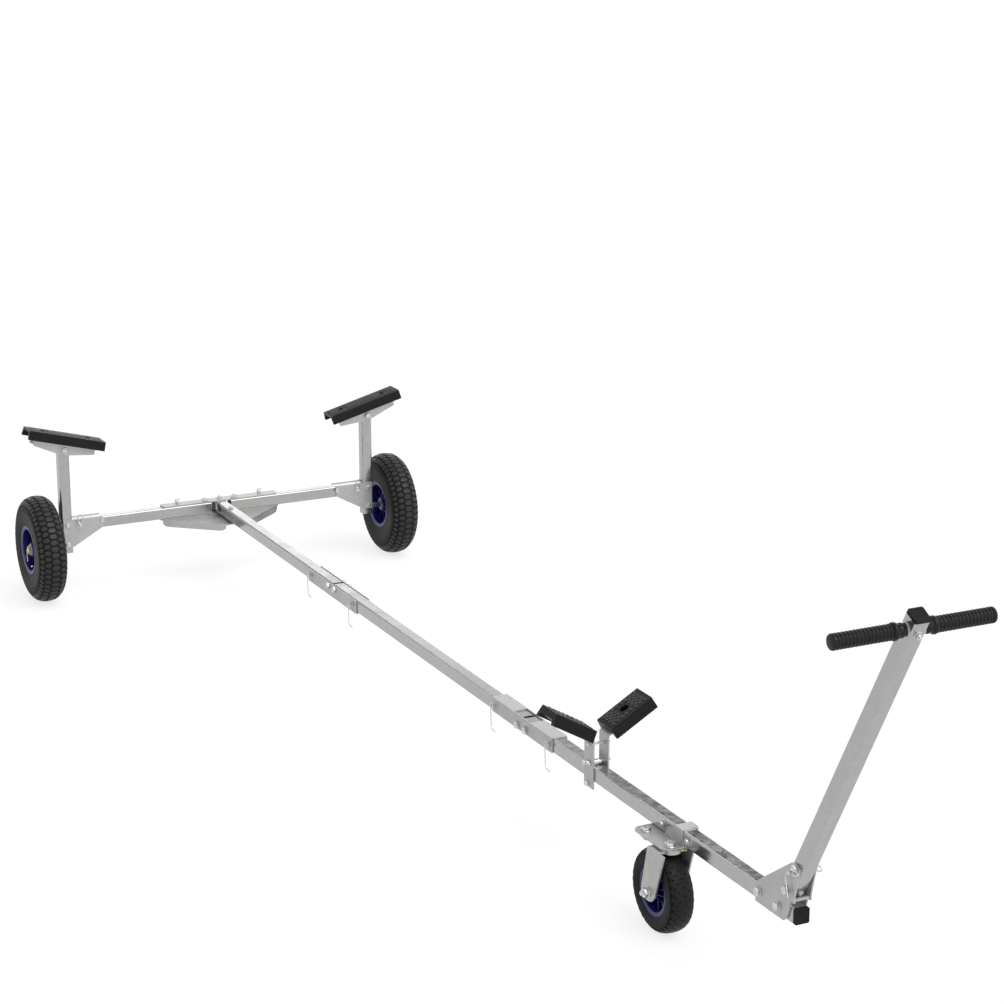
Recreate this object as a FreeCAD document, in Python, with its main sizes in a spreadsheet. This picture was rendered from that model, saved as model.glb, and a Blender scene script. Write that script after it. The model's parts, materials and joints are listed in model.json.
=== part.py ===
import FreeCAD, Part
import os
import re
import Sketcher
from FreeCAD import Placement, Rotation, Vector

# A folding dinghy trolley in millimetres: +X forward to the handle, +Y left, +Z up.
# The origin is on the floor under the middle of the whole trolley.

doc = FreeCAD.newDocument("DinghyTrolley")
sheet = doc.addObject("Spreadsheet::Sheet", "Sizes")

sizes = {
    # frame tube
    "tubeSide": 40, "tubeWall": 2.5, "tubeRound": 5, "plate": 4, "fit": 0.3,
    "axleX": -2052.3, "beamHigh": 261.5,
    # hinge bolts
    "boltR": 6, "headOfBoltR": 10.5, "headOfBoltThick": 6,
    # wings that carry the rear wheels
    "wingPivotY": 55, "wingEndY": 37,
    "postY": 576, "postSide": 39, "postWall": 2.5, "postRound": 7, "postBottom": 162, "postTop": 545,
    "gussetInY": 447, "gussetLow": 184, "gussetInLow": 245,
    "gussetOutY": 590, "gussetTopGap": 2,
    # rear channel and the plate under it
    "channelHalf": 218, "channelDeep": 38, "channelRound": 14, "channelHoleIn": 33, "channelHoleOut": 84,
    "underHalf": 226, "underFront": 165, "underNose": 34, "lipDeep": 26, "lipEnd": 6, "lipRound": 14,
    # main beam
    "foldOneX": 1112, "foldTwoX": 2482, "foldPitch": 50, "tubeGap": 12, "pivotRise": 8,
    "linkOneLong": 400, "linkTwoLong": 370, "linkPlate": 3, "linkHoleLong": 104,
    "beamEndX": 3869, "capOut": 8,
    # bow support
    "bowX": 2878, "bowPlateWide": 50, "bowPlateLow": 222, "bowTilt": 30,
    "bowPadLong": 140, "bowPadTop": 78, "bowPadFoot": 92, "bowPadThick": 33, "bowPadWall": 8, "bowPadWeb": 20,
    "bowPadMidY": 80.5, "bowPadMidZ": 425, "bowPadHoleR": 13, "bowFlangeLong": 112,
    # rear supports
    "padPivotZ": 540, "padTilt": 15, "padLong": 280, "padTop": 76, "padFoot": 90,
    "padThick": 32, "padAbove": 52, "padWall": 9, "padHoleR": 9, "padHoleStep": 84,
    "bracketLong": 112, "bracketEndDeep": 21, "bracketLow": 17.5, "bracketGap": 0.6,
    # rear wheels
    "wheelR": 187.3, "wheelY": 669, "tyreHalf": 50.5, "tyreMidR": 137,
    "beadHalf": 45, "rimR": 86.8, "rimHalf": 46.5, "rimBarrelR": 74, "rimWeb": 7,
    "hubR": 27, "hubHalf": 44, "stubR": 10, "stubReach": 34.8, "stubFlange": 26,
    "runningFit": 0.05,
    # nose wheel
    "casterX": 3351, "casterY": -45.5, "casterTrail": 35, "noseR": 111, "noseHalf": 34,
    "noseMidR": 88, "noseBeadHalf": 30, "noseRimR": 66, "noseRimHalf": 31,
    "noseBarrelR": 57, "noseWeb": 5, "noseHubR": 17, "noseHubHalf": 36, "noseAxleR": 6,
    "noseAxleHalf": 52, "forkHalf": 39.5, "forkPlate": 4.5, "crownLow": 229, "crownHalf": 41,
    "crownCut": 12, "armHalf": 35, "armTipR": 38, "headR": 27, "headDrop": 2,
    "casterPlateBack": 3206, "casterPlateLong": 165, "casterPlateOut": 77, "casterPlateIn": 27,
    "casterPlateRound": 24, "strapBack": 3278, "strapFront": 3372,
    "strapTopBack": 3331, "strapTopFront": 3365,
    # handle
    "handleX": 3843, "handleZ": 318, "handleLean": 61.5, "handleLong": 896, "handleFoot": 10,
    "barAlong": 862, "barHalf": 206, "barR": 12.5, "gripR": 17.5, "gripLong": 182, "gripEnd": 4,
    # cheek plates of the handle bracket, corner by corner from the lower back
    "cheekBackX": 3712, "cheekDrop": 3, "cheekToeX": 3835, "cheekBendX": 3850, "cheekBendZ": 253,
    "cheekWaistX": 3860, "cheekWaistZ": 280, "cheekNeckX": 3864, "cheekNoseX": 3877,
    "cheekNoseLow": 297, "cheekNoseHigh": 311, "cheekFrontX": 3886, "cheekFrontZ": 351,
    "cheekTipX": 3897, "cheekTipZ": 389, "cheekTopX": 3880, "cheekTopZ": 398,
    "cheekShoulderX": 3862, "cheekShoulderZ": 395, "cheekBackHigh": 27,
    "stripX": 3868, "stripDeep": 6, "stripZ": 300, "stripHigh": 7,
}

for row, (alias, amount) in enumerate(sizes.items(), start=1):
    sheet.set("A%d" % row, alias)
    sheet.set("B%d" % row, str(amount))
    sheet.setAlias("B%d" % row, alias)
doc.recompute()

functions = ("sin", "cos", "tan", "sqrt")
pieces = []


def bound(text):
    # each size's name becomes a reference to its cell
    return re.sub(r"[A-Za-z]+", lambda w: w.group() if w.group() in functions else "Sizes." + w.group(), str(text))


def value(text):
    return float(sheet.evalExpression(bound(text)))


def newBody(name):
    body = doc.addObject("PartDesign::Body", name)
    body.Label = name
    pieces.append(body)
    return body


def place(item, x, y, z, axis=None, angle=None):
    if axis is not None:
        item.Placement = Placement(Vector(), Rotation(axis, value(angle)))
        item.setExpression("Placement.Rotation.Angle", bound(angle))
    item.setExpression("Placement.Base.x", bound(x))
    item.setExpression("Placement.Base.y", bound(y))
    item.setExpression("Placement.Base.z", bound(z))
    return item


def newSketch(body, plane):
    sketch = body.newObject("Sketcher::SketchObject", "Outline")
    face = [f for f in body.Origin.OriginFeatures if f.Role == plane][0]
    sketch.AttachmentSupport = (face, [""])
    sketch.MapMode = "FlatFace"
    return sketch


def pin(sketch, kind, geo, point, text):
    # ties one coordinate of a point to the sheet
    number = value(text)
    if abs(number) < 1e-9:
        axis = -2 if kind == "DistanceX" else -1
        sketch.addConstraint(Sketcher.Constraint("PointOnObject", geo, point, axis))
        return
    index = sketch.addConstraint(Sketcher.Constraint(kind, -1, 1, geo, point, number))
    sketch.setExpression("Constraints[%d]" % index, bound(text))


def polygon(body, plane, points):
    # each point is (across, up), or (across, up, radius) when an arc leaves it for the next
    sketch = newSketch(body, plane)
    addPolygon(sketch, points)
    return sketch


def addPolygon(sketch, points):
    first = sketch.GeometryCount
    spots = [Vector(value(p[0]), value(p[1]), 0) for p in points]
    count = len(points)
    for i, point in enumerate(points):
        start = spots[i]
        end = spots[(i + 1) % count]
        if len(point) == 2:
            sketch.addGeometry(Part.LineSegment(start, end), False)
            continue
        chord = end - start
        radius = value(point[2])
        across = Vector(chord.y, -chord.x, 0).normalize()
        height = radius - (radius ** 2 - (chord.Length / 2) ** 2) ** 0.5
        middle = (start + end) * 0.5 + across * height
        sketch.addGeometry(Part.Arc(start, middle, end), False)
    for i, point in enumerate(points):
        here = (first + i, endPoint(sketch, first + i, spots[(i + 1) % count]))
        there = (first + (i + 1) % count, startPoint(sketch, first + (i + 1) % count, spots[(i + 1) % count]))
        sketch.addConstraint(Sketcher.Constraint("Coincident", here[0], here[1], there[0], there[1]))
    for i, point in enumerate(points):
        where = startPoint(sketch, first + i, spots[i])
        pin(sketch, "DistanceX", first + i, where, point[0])
        pin(sketch, "DistanceY", first + i, where, point[1])
        if len(point) == 3:
            index = sketch.addConstraint(Sketcher.Constraint("Radius", first + i, value(point[2])))
            sketch.setExpression("Constraints[%d]" % index, bound(point[2]))


def startPoint(sketch, geo, spot):
    return 1 if (sketch.getPoint(geo, 1) - spot).Length < 1e-6 else 2


def endPoint(sketch, geo, spot):
    return 2 if (sketch.getPoint(geo, 2) - spot).Length < 1e-6 else 1


def rectangle(body, plane, left, right, low, high):
    return polygon(body, plane, [(left, low), (right, low), (right, high), (left, high)])


def circles(body, plane, rounds):
    # each round is (across, up, radius)
    sketch = newSketch(body, plane)
    for across, up, radius in rounds:
        centre = Vector(value(across), value(up), 0)
        index = sketch.addGeometry(Part.Circle(centre, Vector(0, 0, 1), value(radius)), False)
        pin(sketch, "DistanceX", index, 3, across)
        pin(sketch, "DistanceY", index, 3, up)
        tie = sketch.addConstraint(Sketcher.Constraint("Radius", index, value(radius)))
        sketch.setExpression("Constraints[%d]" % tie, bound(radius))
    return sketch


def pad(body, sketch, length, both=False, backward=False):
    feature = body.newObject("PartDesign::Pad", "Pad")
    feature.Profile = sketch
    feature.setExpression("Length", bound(length))
    feature.Midplane = both
    feature.Reversed = backward
    doc.recompute()
    return feature


def cut(body, sketch, length=None, backward=False):
    feature = body.newObject("PartDesign::Pocket", "Cut")
    feature.Profile = sketch
    feature.Midplane = length is None
    feature.Reversed = backward
    if length is None:
        feature.Type = "ThroughAll"
    else:
        feature.setExpression("Length", bound(length))
    before = feature.BaseFeature.Shape.Volume
    doc.recompute()
    if feature.Shape.Volume > before - 1:
        raise ValueError("a cut in %s removes nothing" % body.Label)
    return feature


def turn(body, sketch, axis):
    feature = body.newObject("PartDesign::Revolution", "Turn")
    feature.Profile = sketch
    feature.ReferenceAxis = (sketch, [axis])
    feature.Angle = 360
    doc.recompute()
    return feature


def roundEdges(body, feature, radius, direction, wanted=None):
    # rounds the straight edges that run in one direction, or those of them that are wanted
    names = []
    for number, edge in enumerate(feature.Shape.Edges, start=1):
        straight = isinstance(edge.Curve, Part.Line)
        if straight and abs(edge.Curve.Direction.dot(direction)) > 0.999:
            if wanted is None or wanted(edge.CenterOfMass):
                names.append("Edge%d" % number)
    fillet = body.newObject("PartDesign::Fillet", "Rounded")
    fillet.Base = (feature, names)
    fillet.setExpression("Radius", bound(radius))
    doc.recompute()
    return fillet


def squareTube(name, start, end, side, wall, corner):
    # a square tube that lies along the body's own X
    body = newBody(name)
    half = "%s/2" % side
    outer = rectangle(body, "YZ_Plane", "-" + half, half, "-" + half, half)
    bar = pad(body, outer, "(%s)-(%s)" % (end, start))
    bar.Profile[0].setExpression("AttachmentOffset.Base.z", bound(start))
    doc.recompute()
    roundEdges(body, bar, corner, Vector(1, 0, 0))
    inside = "(%s/2-%s)" % (side, wall)
    inner = rectangle(body, "YZ_Plane", "-" + inside, inside, "-" + inside, inside)
    cut(body, inner)
    return body


def drill(body, plane, spots):
    # holes for the hinge bolts
    return cut(body, circles(body, plane, [(across, up, "boltR+runningFit") for across, up in spots]))


def makePins(name, spots, direction, reach):
    # bolts with a head and a nut, reach from the middle to the face under each head
    parts = []
    turnTo = Rotation(Vector(0, 0, 1), direction)
    for x, y, z in spots:
        runs = [("boltR", "2*(%s)" % reach, "-(%s)" % reach),
                ("headOfBoltR", "headOfBoltThick", reach),
                ("headOfBoltR", "headOfBoltThick", "-(%s)-headOfBoltThick" % reach)]
        for radius, length, start in runs:
            rod = doc.addObject("Part::Cylinder", "Rod")
            rod.Placement = Placement(Vector(), turnTo)
            rod.setExpression("Radius", bound(radius))
            rod.setExpression("Height", bound(length))
            for letter, at, share in zip("xyz", (x, y, z), direction):
                rod.setExpression("Placement.Base." + letter, bound("(%s)+(%s)*%.9f" % (at, start, share)))
            parts.append(rod)
    joined = doc.addObject("Part::MultiFuse", name)
    joined.Label = name
    joined.Shapes = parts
    pieces.append(joined)
    return joined


# ---- rear of the frame -------------------------------------------------------------------

def makeBeamRear():
    body = squareTube("beam_rear", "-tubeSide/2", "foldOneX-tubeGap/2", "tubeSide", "tubeWall", "tubeRound")
    drill(body, "XZ_Plane", [("foldOneX-foldPitch/2", "pivotRise")])
    place(body, "axleX", "0", "beamHigh")


def makeAxleChannel():
    # a channel behind the two axle halves and the beam's end, open to the front
    body = newBody("axle_channel")
    back = "-(tubeSide/2+fit+plate)"
    inner = "(tubeSide/2+fit)"
    outer = "(tubeSide/2+fit+plate)"
    front = "(channelDeep-tubeSide/2)"
    section = [(back, "-" + outer), (front, "-" + outer), (front, "-" + inner), ("-" + inner, "-" + inner),
               ("-" + inner, inner), (front, inner), (front, outer), (back, outer)]
    channel = pad(body, polygon(body, "XZ_Plane", section), "2*channelHalf", both=True)
    roundEdges(body, channel, "channelRound", Vector(0, 0, 1), lambda spot: spot.x > 0)
    for sign in ("", "-"):
        # lets the corner of an axle half swing past the web
        left, right = "%schannelHoleIn" % sign, "%schannelHoleOut" % sign
        window = rectangle(body, "YZ_Plane", left, right, "-" + inner, inner)
        cut(body, window, "tubeSide")
    drill(body, "XY_Plane", [("0", "wingPivotY"), ("0", "-wingPivotY")])
    place(body, "axleX", "0", "beamHigh")


def makeUnderPlate():
    # a plate under the junction, with a lip turned down along each slanted side
    body = newBody("junction_plate")
    back = "-(tubeSide/2+fit+plate)"
    outline = [(back, "-underHalf"), ("0", "-underHalf"), ("underFront", "-underNose"), ("underFront", "underNose"),
               ("0", "underHalf"), (back, "underHalf")]
    pad(body, polygon(body, "XY_Plane", outline), "plate", backward=True)
    slope = "((underHalf-underNose)/underFront)"
    shift = "plate*sqrt(1+%s^2)" % slope
    for mark in ("", "-"):
        lip = []
        for along, inward in (("lipEnd", "0"), ("underFront-lipEnd", "0"), ("underFront-lipEnd", shift), ("lipEnd", shift)):
            lip.append((along, "%s(underHalf-%s*(%s)-%s)" % (mark, slope, along, inward)))
        if mark:
            lip.reverse()
        pad(body, polygon(body, "XY_Plane", lip), "lipDeep", backward=True)
    under = "-lipDeep-fit"
    high = "-lipDeep+lipRound"
    front = "underFront-lipEnd"
    backCorner = [("lipEnd-fit", under), ("lipEnd-fit", high), ("lipEnd", high, "lipRound"),
                  ("lipEnd+lipRound", "-lipDeep"), ("lipEnd+lipRound", under)]
    frontCorner = [(front + "-lipRound", under), (front + "-lipRound", "-lipDeep", "lipRound"), (front, high),
                   (front + "+fit", high), (front + "+fit", under)]
    for corner in (backCorner, frontCorner):
        cut(body, polygon(body, "XZ_Plane", corner))
    heads = [("0", "%swingPivotY" % mark, "headOfBoltR+fit") for mark in ("", "-")]
    cut(body, circles(body, "XY_Plane", heads))
    place(body, "axleX", "0", "beamHigh-tubeSide/2-2*fit-plate")


makeBeamRear()
makeAxleChannel()
makeUnderPlate()
makePins("wing_pins", [("axleX", "wingPivotY", "beamHigh"), ("axleX", "-wingPivotY", "beamHigh")],
         Vector(0, 0, 1), "tubeSide/2+fit+plate+fit")


# ---- folding beam ------------------------------------------------------------------------

def makeLink(name, middle, length, upward):
    # a channel round the beam's joint, with a hole in its web for the tubes' ends to swing;
    # its pivots lie nearer the side that it folds to
    body = newBody(name)
    inner = "(tubeSide/2+fit)"
    outer = "(tubeSide/2+fit+linkPlate)"
    top = "tubeSide/2"
    sign = "" if upward else "-"
    web = "-%s" % outer if upward else outer
    webIn = "-%s" % inner if upward else inner
    lip = top if upward else "-" + top
    section = [("-" + outer, web), (outer, web), (outer, lip), (inner, lip), (inner, webIn),
               ("-" + inner, webIn), ("-" + inner, lip), ("-" + outer, lip)]
    pad(body, polygon(body, "YZ_Plane", section), length, both=True)
    hole = rectangle(body, "XY_Plane", "-linkHoleLong/2", "linkHoleLong/2", "-" + inner, inner)
    cut(body, hole)
    rise = "pivotRise" if upward else "-pivotRise"
    drill(body, "XZ_Plane", [("-foldPitch/2", rise), ("foldPitch/2", rise)])
    place(body, "axleX+" + middle, "0", "beamHigh")
    spots = [("axleX+%s%sfoldPitch/2" % (middle, mark), "0", "beamHigh+" + rise) for mark in "-+"]
    makePins(name + "_pins", spots, Vector(0, 1, 0), "tubeSide/2+fit+linkPlate+fit")


def makeBeamMiddle():
    body = squareTube("beam_middle", "foldOneX+tubeGap/2", "foldTwoX-tubeGap/2", "tubeSide", "tubeWall", "tubeRound")
    drill(body, "XZ_Plane", [("foldOneX+foldPitch/2", "pivotRise"), ("foldTwoX-foldPitch/2", "-pivotRise")])
    place(body, "axleX", "0", "beamHigh")


def makeBeamFront():
    body = squareTube("beam_front", "foldTwoX+tubeGap/2", "beamEndX", "tubeSide", "tubeWall", "tubeRound")
    drill(body, "XZ_Plane", [("foldTwoX+foldPitch/2", "-pivotRise")])
    place(body, "axleX", "0", "beamHigh")


def makeTubeCap(name, side, wall, corner):
    # a push-in end cap: a plug inside the tube and a head over its end
    body = newBody(name)
    half = "%s/2" % side
    head = rectangle(body, "YZ_Plane", "-" + half, half, "-" + half, half)
    block = pad(body, head, "capOut")
    roundEdges(body, block, corner, Vector(1, 0, 0))
    inside = "(%s/2-%s-fit)" % (side, wall)
    plug = rectangle(body, "YZ_Plane", "-" + inside, inside, "-" + inside, inside)
    pad(body, plug, "2*capOut", backward=True)
    return body


makeLink("link_rear", "foldOneX", "linkOneLong", True)
makeBeamMiddle()
makeLink("link_front", "foldTwoX", "linkTwoLong", False)
makeBeamFront()
place(makeTubeCap("beam_cap", "tubeSide", "tubeWall", "tubeRound"), "axleX+beamEndX", "0", "beamHigh")


# ---- bow support -------------------------------------------------------------------------

def makeBowUpright(name, sign):
    # a plate bolted to the beam's side and bent out at the top under its pad
    body = newBody(name)
    inner = "(tubeSide/2+fit)"
    across = "cos(bowTilt)"
    rise = "sin(bowTilt)"
    deep = "(bowPadWeb+fit)"
    low = "(bowPadWeb+fit+plate)"

    def onPad(along, under):
        y = "bowPadMidY+(%s)*%s+%s*%s" % (along, across, under, rise)
        z = "bowPadMidZ+(%s)*%s-%s*%s-beamHigh" % (along, rise, under, across)
        return y, z

    def heightAt(y, under):
        along = "((%s)-bowPadMidY-%s*%s)/%s" % (y, under, rise, across)
        return onPad(along, under)[1]

    wide = inner + "+plate"
    points = [(inner, "bowPlateLow-beamHigh"), (wide, "bowPlateLow-beamHigh"), (wide, heightAt(wide, low)),
              onPad("bowFlangeLong/2", low), onPad("bowFlangeLong/2", deep), (inner, heightAt(inner, deep))]
    if sign < 0:
        points = [("-(%s)" % y, z) for y, z in reversed(points)]
    pad(body, polygon(body, "YZ_Plane", points), "bowPlateWide", both=True)
    place(body, "axleX+bowX", "0", "beamHigh")


def makePad(name, long, top, foot, thick, wall, web, holes):
    # a rubber channel along the body's Y, its tread face at the origin's height
    body = newBody(name)
    section = [("-%s/2" % foot, "-" + thick), ("-(%s/2-%s)" % (foot, wall), "-" + thick),
               ("-(%s/2-%s)" % (top, wall), "-" + web), ("%s/2-%s" % (top, wall), "-" + web),
               ("%s/2-%s" % (foot, wall), "-" + thick), ("%s/2" % foot, "-" + thick),
               ("%s/2" % top, "0"), ("-%s/2" % top, "0")]
    pad(body, polygon(body, "XZ_Plane", section), long, both=True)
    cut(body, circles(body, "XY_Plane", holes))
    return body


def makeBowPad(name, sign):
    body = makePad(name, "bowPadLong", "bowPadTop", "bowPadFoot", "bowPadThick", "bowPadWall", "bowPadWeb",
                   [("0", "0", "bowPadHoleR")])
    mark = "" if sign > 0 else "-"
    place(body, "axleX+bowX", mark + "bowPadMidY", "bowPadMidZ", Vector(1, 0, 0), mark + "bowTilt")


makeBowUpright("bow_upright_left", 1)
makeBowUpright("bow_upright_right", -1)
makeBowPad("bow_pad_left", 1)
makeBowPad("bow_pad_right", -1)


# ---- nose wheel ----------------------------------------------------------------------------

def makeCasterStrap():
    # folded over the beam, wide at its feet and narrow at the top
    body = newBody("caster_strap")
    inner = "(tubeSide/2+fit)"
    outer = "(tubeSide/2+fit+plate)"
    side = [("strapBack", "-tubeSide/2"), ("strapFront", "-tubeSide/2"),
            ("strapTopFront", outer), ("strapTopBack", outer)]
    pad(body, polygon(body, "XZ_Plane", side), "2*" + outer, both=True)
    cut(body, rectangle(body, "YZ_Plane", "-" + inner, inner, "-tubeSide", inner))
    place(body, "axleX", "0", "beamHigh")


def makeCasterPlate():
    body = newBody("caster_plate")
    outline = rectangle(body, "XY_Plane", "casterPlateBack", "casterPlateBack+casterPlateLong",
                        "-casterPlateOut", "casterPlateIn")
    flat = pad(body, outline, "plate", backward=True)
    outer = value("-casterPlateOut/2")
    roundEdges(body, flat, "casterPlateRound", Vector(0, 0, 1), lambda spot: spot.y < outer)
    place(body, "axleX", "0", "beamHigh-tubeSide/2-fit")


def makeCasterFork():
    # a crown with a round swivel head in front of it, and two trailing arms
    body = newBody("caster_fork")
    width = "(forkHalf+forkPlate)"
    crown = "crownLow+forkPlate"
    arm = [("-crownHalf", crown), ("-casterTrail-armHalf", "noseR", "armTipR"), ("-casterTrail+armHalf", "noseR"),
           ("crownHalf", crown)]
    pad(body, polygon(body, "XZ_Plane", arm), "2*" + width, both=True)
    cut(body, rectangle(body, "YZ_Plane", "-forkHalf", "forkHalf", "0", "crownLow"))
    cut(body, rectangle(body, "XY_Plane", "crownCut", "crownHalf+armHalf", "-forkHalf", "forkHalf"))
    cut(body, circles(body, "XZ_Plane", [("-casterTrail", "noseR", "noseAxleR+fit/2")]))
    head = circles(body, "XY_Plane", [("0", "0", "headR")])
    head.setExpression("AttachmentOffset.Base.z", bound("crownLow-headDrop"))
    pad(body, head, "beamHigh-tubeSide/2-2*fit-plate-(crownLow-headDrop)")
    place(body, "axleX+casterX", "casterY", "0")


def makeCasterAxle():
    body = newBody("caster_axle")
    pad(body, circles(body, "XZ_Plane", [("0", "0", "noseAxleR")]), "2*noseAxleHalf", both=True)
    place(body, "axleX+casterX-casterTrail", "casterY", "noseR")


# ---- handle --------------------------------------------------------------------------------

def makeHandleBracket():
    # two cheek plates on the beam, joined by a strip in front of the handle's foot
    body = newBody("handle_bracket")
    inner = "(tubeSide/2+fit)"
    outer = "(tubeSide/2+fit+plate)"
    low = "beamHigh-tubeSide/2-cheekDrop"
    cheek = [("cheekBackX", low), ("cheekToeX", low), ("cheekBendX", "cheekBendZ"), ("cheekWaistX", "cheekWaistZ"),
             ("cheekNeckX", "cheekNoseLow"), ("cheekNoseX", "cheekNoseLow"), ("cheekNoseX", "cheekNoseHigh"),
             ("cheekFrontX", "cheekFrontZ"), ("cheekTipX", "cheekTipZ"), ("cheekTopX", "cheekTopZ"),
             ("cheekShoulderX", "cheekShoulderZ"), ("cheekBackX", "beamHigh+cheekBackHigh")]
    pad(body, polygon(body, "XZ_Plane", cheek), "2*" + outer, both=True)
    cut(body, rectangle(body, "YZ_Plane", "-" + inner, inner, "0", "2*handleZ"))
    strip = rectangle(body, "XZ_Plane", "stripX", "stripX+stripDeep", "stripZ", "stripZ+stripHigh")
    pad(body, strip, "2*" + outer, both=True)
    drill(body, "XZ_Plane", [("handleX", "handleZ")])
    place(body, "axleX", "0", "0")


def onHandle(item, along):
    # a place on the handle's middle line, measured up from its hinge
    return place(item, "axleX+handleX+(%s)*cos(handleLean)" % along, "0",
                 "handleZ+(%s)*sin(handleLean)" % along, Vector(0, 1, 0), "-handleLean")


def makeHandle():
    tube = squareTube("handle_tube", "-handleFoot", "handleLong", "tubeSide", "tubeWall", "tubeRound")
    cut(tube, circles(tube, "XZ_Plane", [("barAlong", "0", "barR+fit")]))
    drill(tube, "XZ_Plane", [("0", "0")])
    onHandle(tube, "0")
    onHandle(makeTubeCap("handle_cap", "tubeSide", "tubeWall", "tubeRound"), "handleLong")


def makeBar():
    body = newBody("t_bar")
    pad(body, circles(body, "XZ_Plane", [("0", "0", "barR")]), "2*(barHalf-gripEnd-fit)", both=True)
    onHandle(body, "barAlong")


def makeGrip(name, sign):
    # a sleeve closed at its outer end
    body = newBody(name)
    mark = "" if sign > 0 else "-"
    outer = "%sbarHalf" % mark
    inner = "%s(barHalf-gripLong)" % mark
    floor = "%s(barHalf-gripEnd)" % mark
    points = [("0", outer), ("gripR", outer), ("gripR", inner), ("barR+fit", inner),
              ("barR+fit", floor), ("0", floor)]
    turn(body, polygon(body, "XY_Plane", points), "V_Axis")
    onHandle(body, "barAlong")


makeCasterStrap()
makeCasterPlate()
makeCasterFork()
makeCasterAxle()
noseAt = ("axleX+casterX-casterTrail", "casterY", "noseR", Vector(1, 0, 0), "90")
makeHandleBracket()
makePins("handle_pin", [("axleX+handleX", "0", "handleZ")], Vector(0, 1, 0), "tubeSide/2+fit+plate+fit")
makeHandle()
makeBar()
makeGrip("grip_left", 1)
makeGrip("grip_right", -1)


# ---- wings with the rear wheels ----------------------------------------------------------

def makeAxleTube(name, sign):
    body = squareTube(name, "wingEndY", "postY-postSide/2-fit", "tubeSide", "tubeWall", "tubeRound")
    drill(body, "XY_Plane", [("wingPivotY", "0")])
    place(body, "axleX", "0", "beamHigh", Vector(0, 0, 1), "90" if sign > 0 else "-90")


def makeGusset(name, sign, front):
    body = newBody(name)
    mark = "" if sign > 0 else "-"
    top = "tubeSide/2+gussetTopGap"
    points = [("gussetInY", "gussetInLow-beamHigh"), ("postY-postSide/2", "gussetLow-beamHigh"),
              ("gussetOutY", "gussetLow-beamHigh"), ("gussetOutY", top), ("gussetInY", top)]
    points = [("%s(%s)" % (mark, y), z) for y, z in points]
    if sign < 0:
        points.reverse()
    pad(body, polygon(body, "YZ_Plane", points), "plate")
    offset = "tubeSide/2+fit" if front else "-tubeSide/2-fit-plate"
    place(body, "axleX+" + offset, "0", "beamHigh")


def makePost(name, sign):
    body = squareTube(name, "postBottom", "postTop", "postSide", "postWall", "postRound")
    drill(body, "XY_Plane", [("padPivotZ", "0")])
    place(body, "axleX", "postY" if sign > 0 else "-postY", "0", Vector(0, 1, 0), "-90")


def makeStub(name, sign):
    # the wheel's axle, with a square flange that bolts to the post
    body = newBody(name)
    side = "(postY+postSide/2+fit)"
    plateSketch = rectangle(body, "XY_Plane", "-stubFlange/2", "stubFlange/2", "-stubFlange/2", "stubFlange/2")
    pad(body, plateSketch, "plate")
    pad(body, circles(body, "XY_Plane", [("0", "0", "stubR")]), "wheelY+stubReach-" + side)
    place(body, "axleX", side if sign > 0 else "-" + side, "wheelR", Vector(1, 0, 0), "-90" if sign > 0 else "90")


def makeTyre(name, out, mid, half, bead, beadHalf):
    # the section stands on the bead line and closes over the crown
    body = newBody(name)
    points = [(bead, "-" + beadHalf, "%s*5" % half), (mid, "-" + half, half), (out, "0", half),
              (mid, half, "%s*5" % half), (bead, beadHalf)]
    turn(body, polygon(body, "XZ_Plane", points), "V_Axis")
    return body


def makeRim(name, flange, half, barrel, web, hub, hubHalf, bore):
    body = newBody(name)
    skin = "%s/2" % web
    lip = "(%s-%s)" % (half, web)
    points = [(bore, "-" + hubHalf), (hub, "-" + hubHalf), (hub, "-" + skin), ("%s-%s" % (barrel, web), "-" + skin),
              ("%s-%s" % (barrel, web), "-" + half), (flange, "-" + half), (flange, "-" + lip),
              (barrel, "-" + lip), (barrel, lip), (flange, lip), (flange, half), ("%s-%s" % (barrel, web), half),
              ("%s-%s" % (barrel, web), skin), (hub, skin), (hub, hubHalf), (bore, hubHalf)]
    turn(body, polygon(body, "XZ_Plane", points), "V_Axis")
    return body


def makePadBracket(name, sign):
    # a folded trough under the rubber that hangs on the post's top bolt
    body = newBody(name)
    top = "padAbove-padWall-fit"
    low = "-bracketLow"
    ends = "padAbove-padThick-bracketEndDeep"
    outside = "postSide/2+bracketGap+plate"
    side = [("-bracketLong", ends), ("-bracketLow", low), ("bracketLow", low), ("bracketLong", ends),
            ("bracketLong", top), ("-bracketLong", top)]
    pad(body, polygon(body, "YZ_Plane", side), "2*(%s)" % outside, both=True)
    hollow = rectangle(body, "XZ_Plane", "-(%s)+plate" % outside, outside + "-plate",
                       "-bracketLow*2", top + "-plate")
    cut(body, hollow)
    drill(body, "YZ_Plane", [("0", "0")])
    mark = "" if sign > 0 else "-"
    place(body, "axleX", mark + "postY", "padPivotZ", Vector(1, 0, 0), mark + "padTilt")


def makeRearPad(name, sign):
    body = makePad(name, "padLong", "padTop", "padFoot", "padThick", "padWall", "padWall",
                   [("0", "-padHoleStep", "padHoleR"), ("0", "padHoleStep", "padHoleR")])
    mark = "" if sign > 0 else "-"
    place(body, "axleX", mark + "(postY-padAbove*sin(padTilt))", "padPivotZ+padAbove*cos(padTilt)",
          Vector(1, 0, 0), mark + "padTilt")


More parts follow.
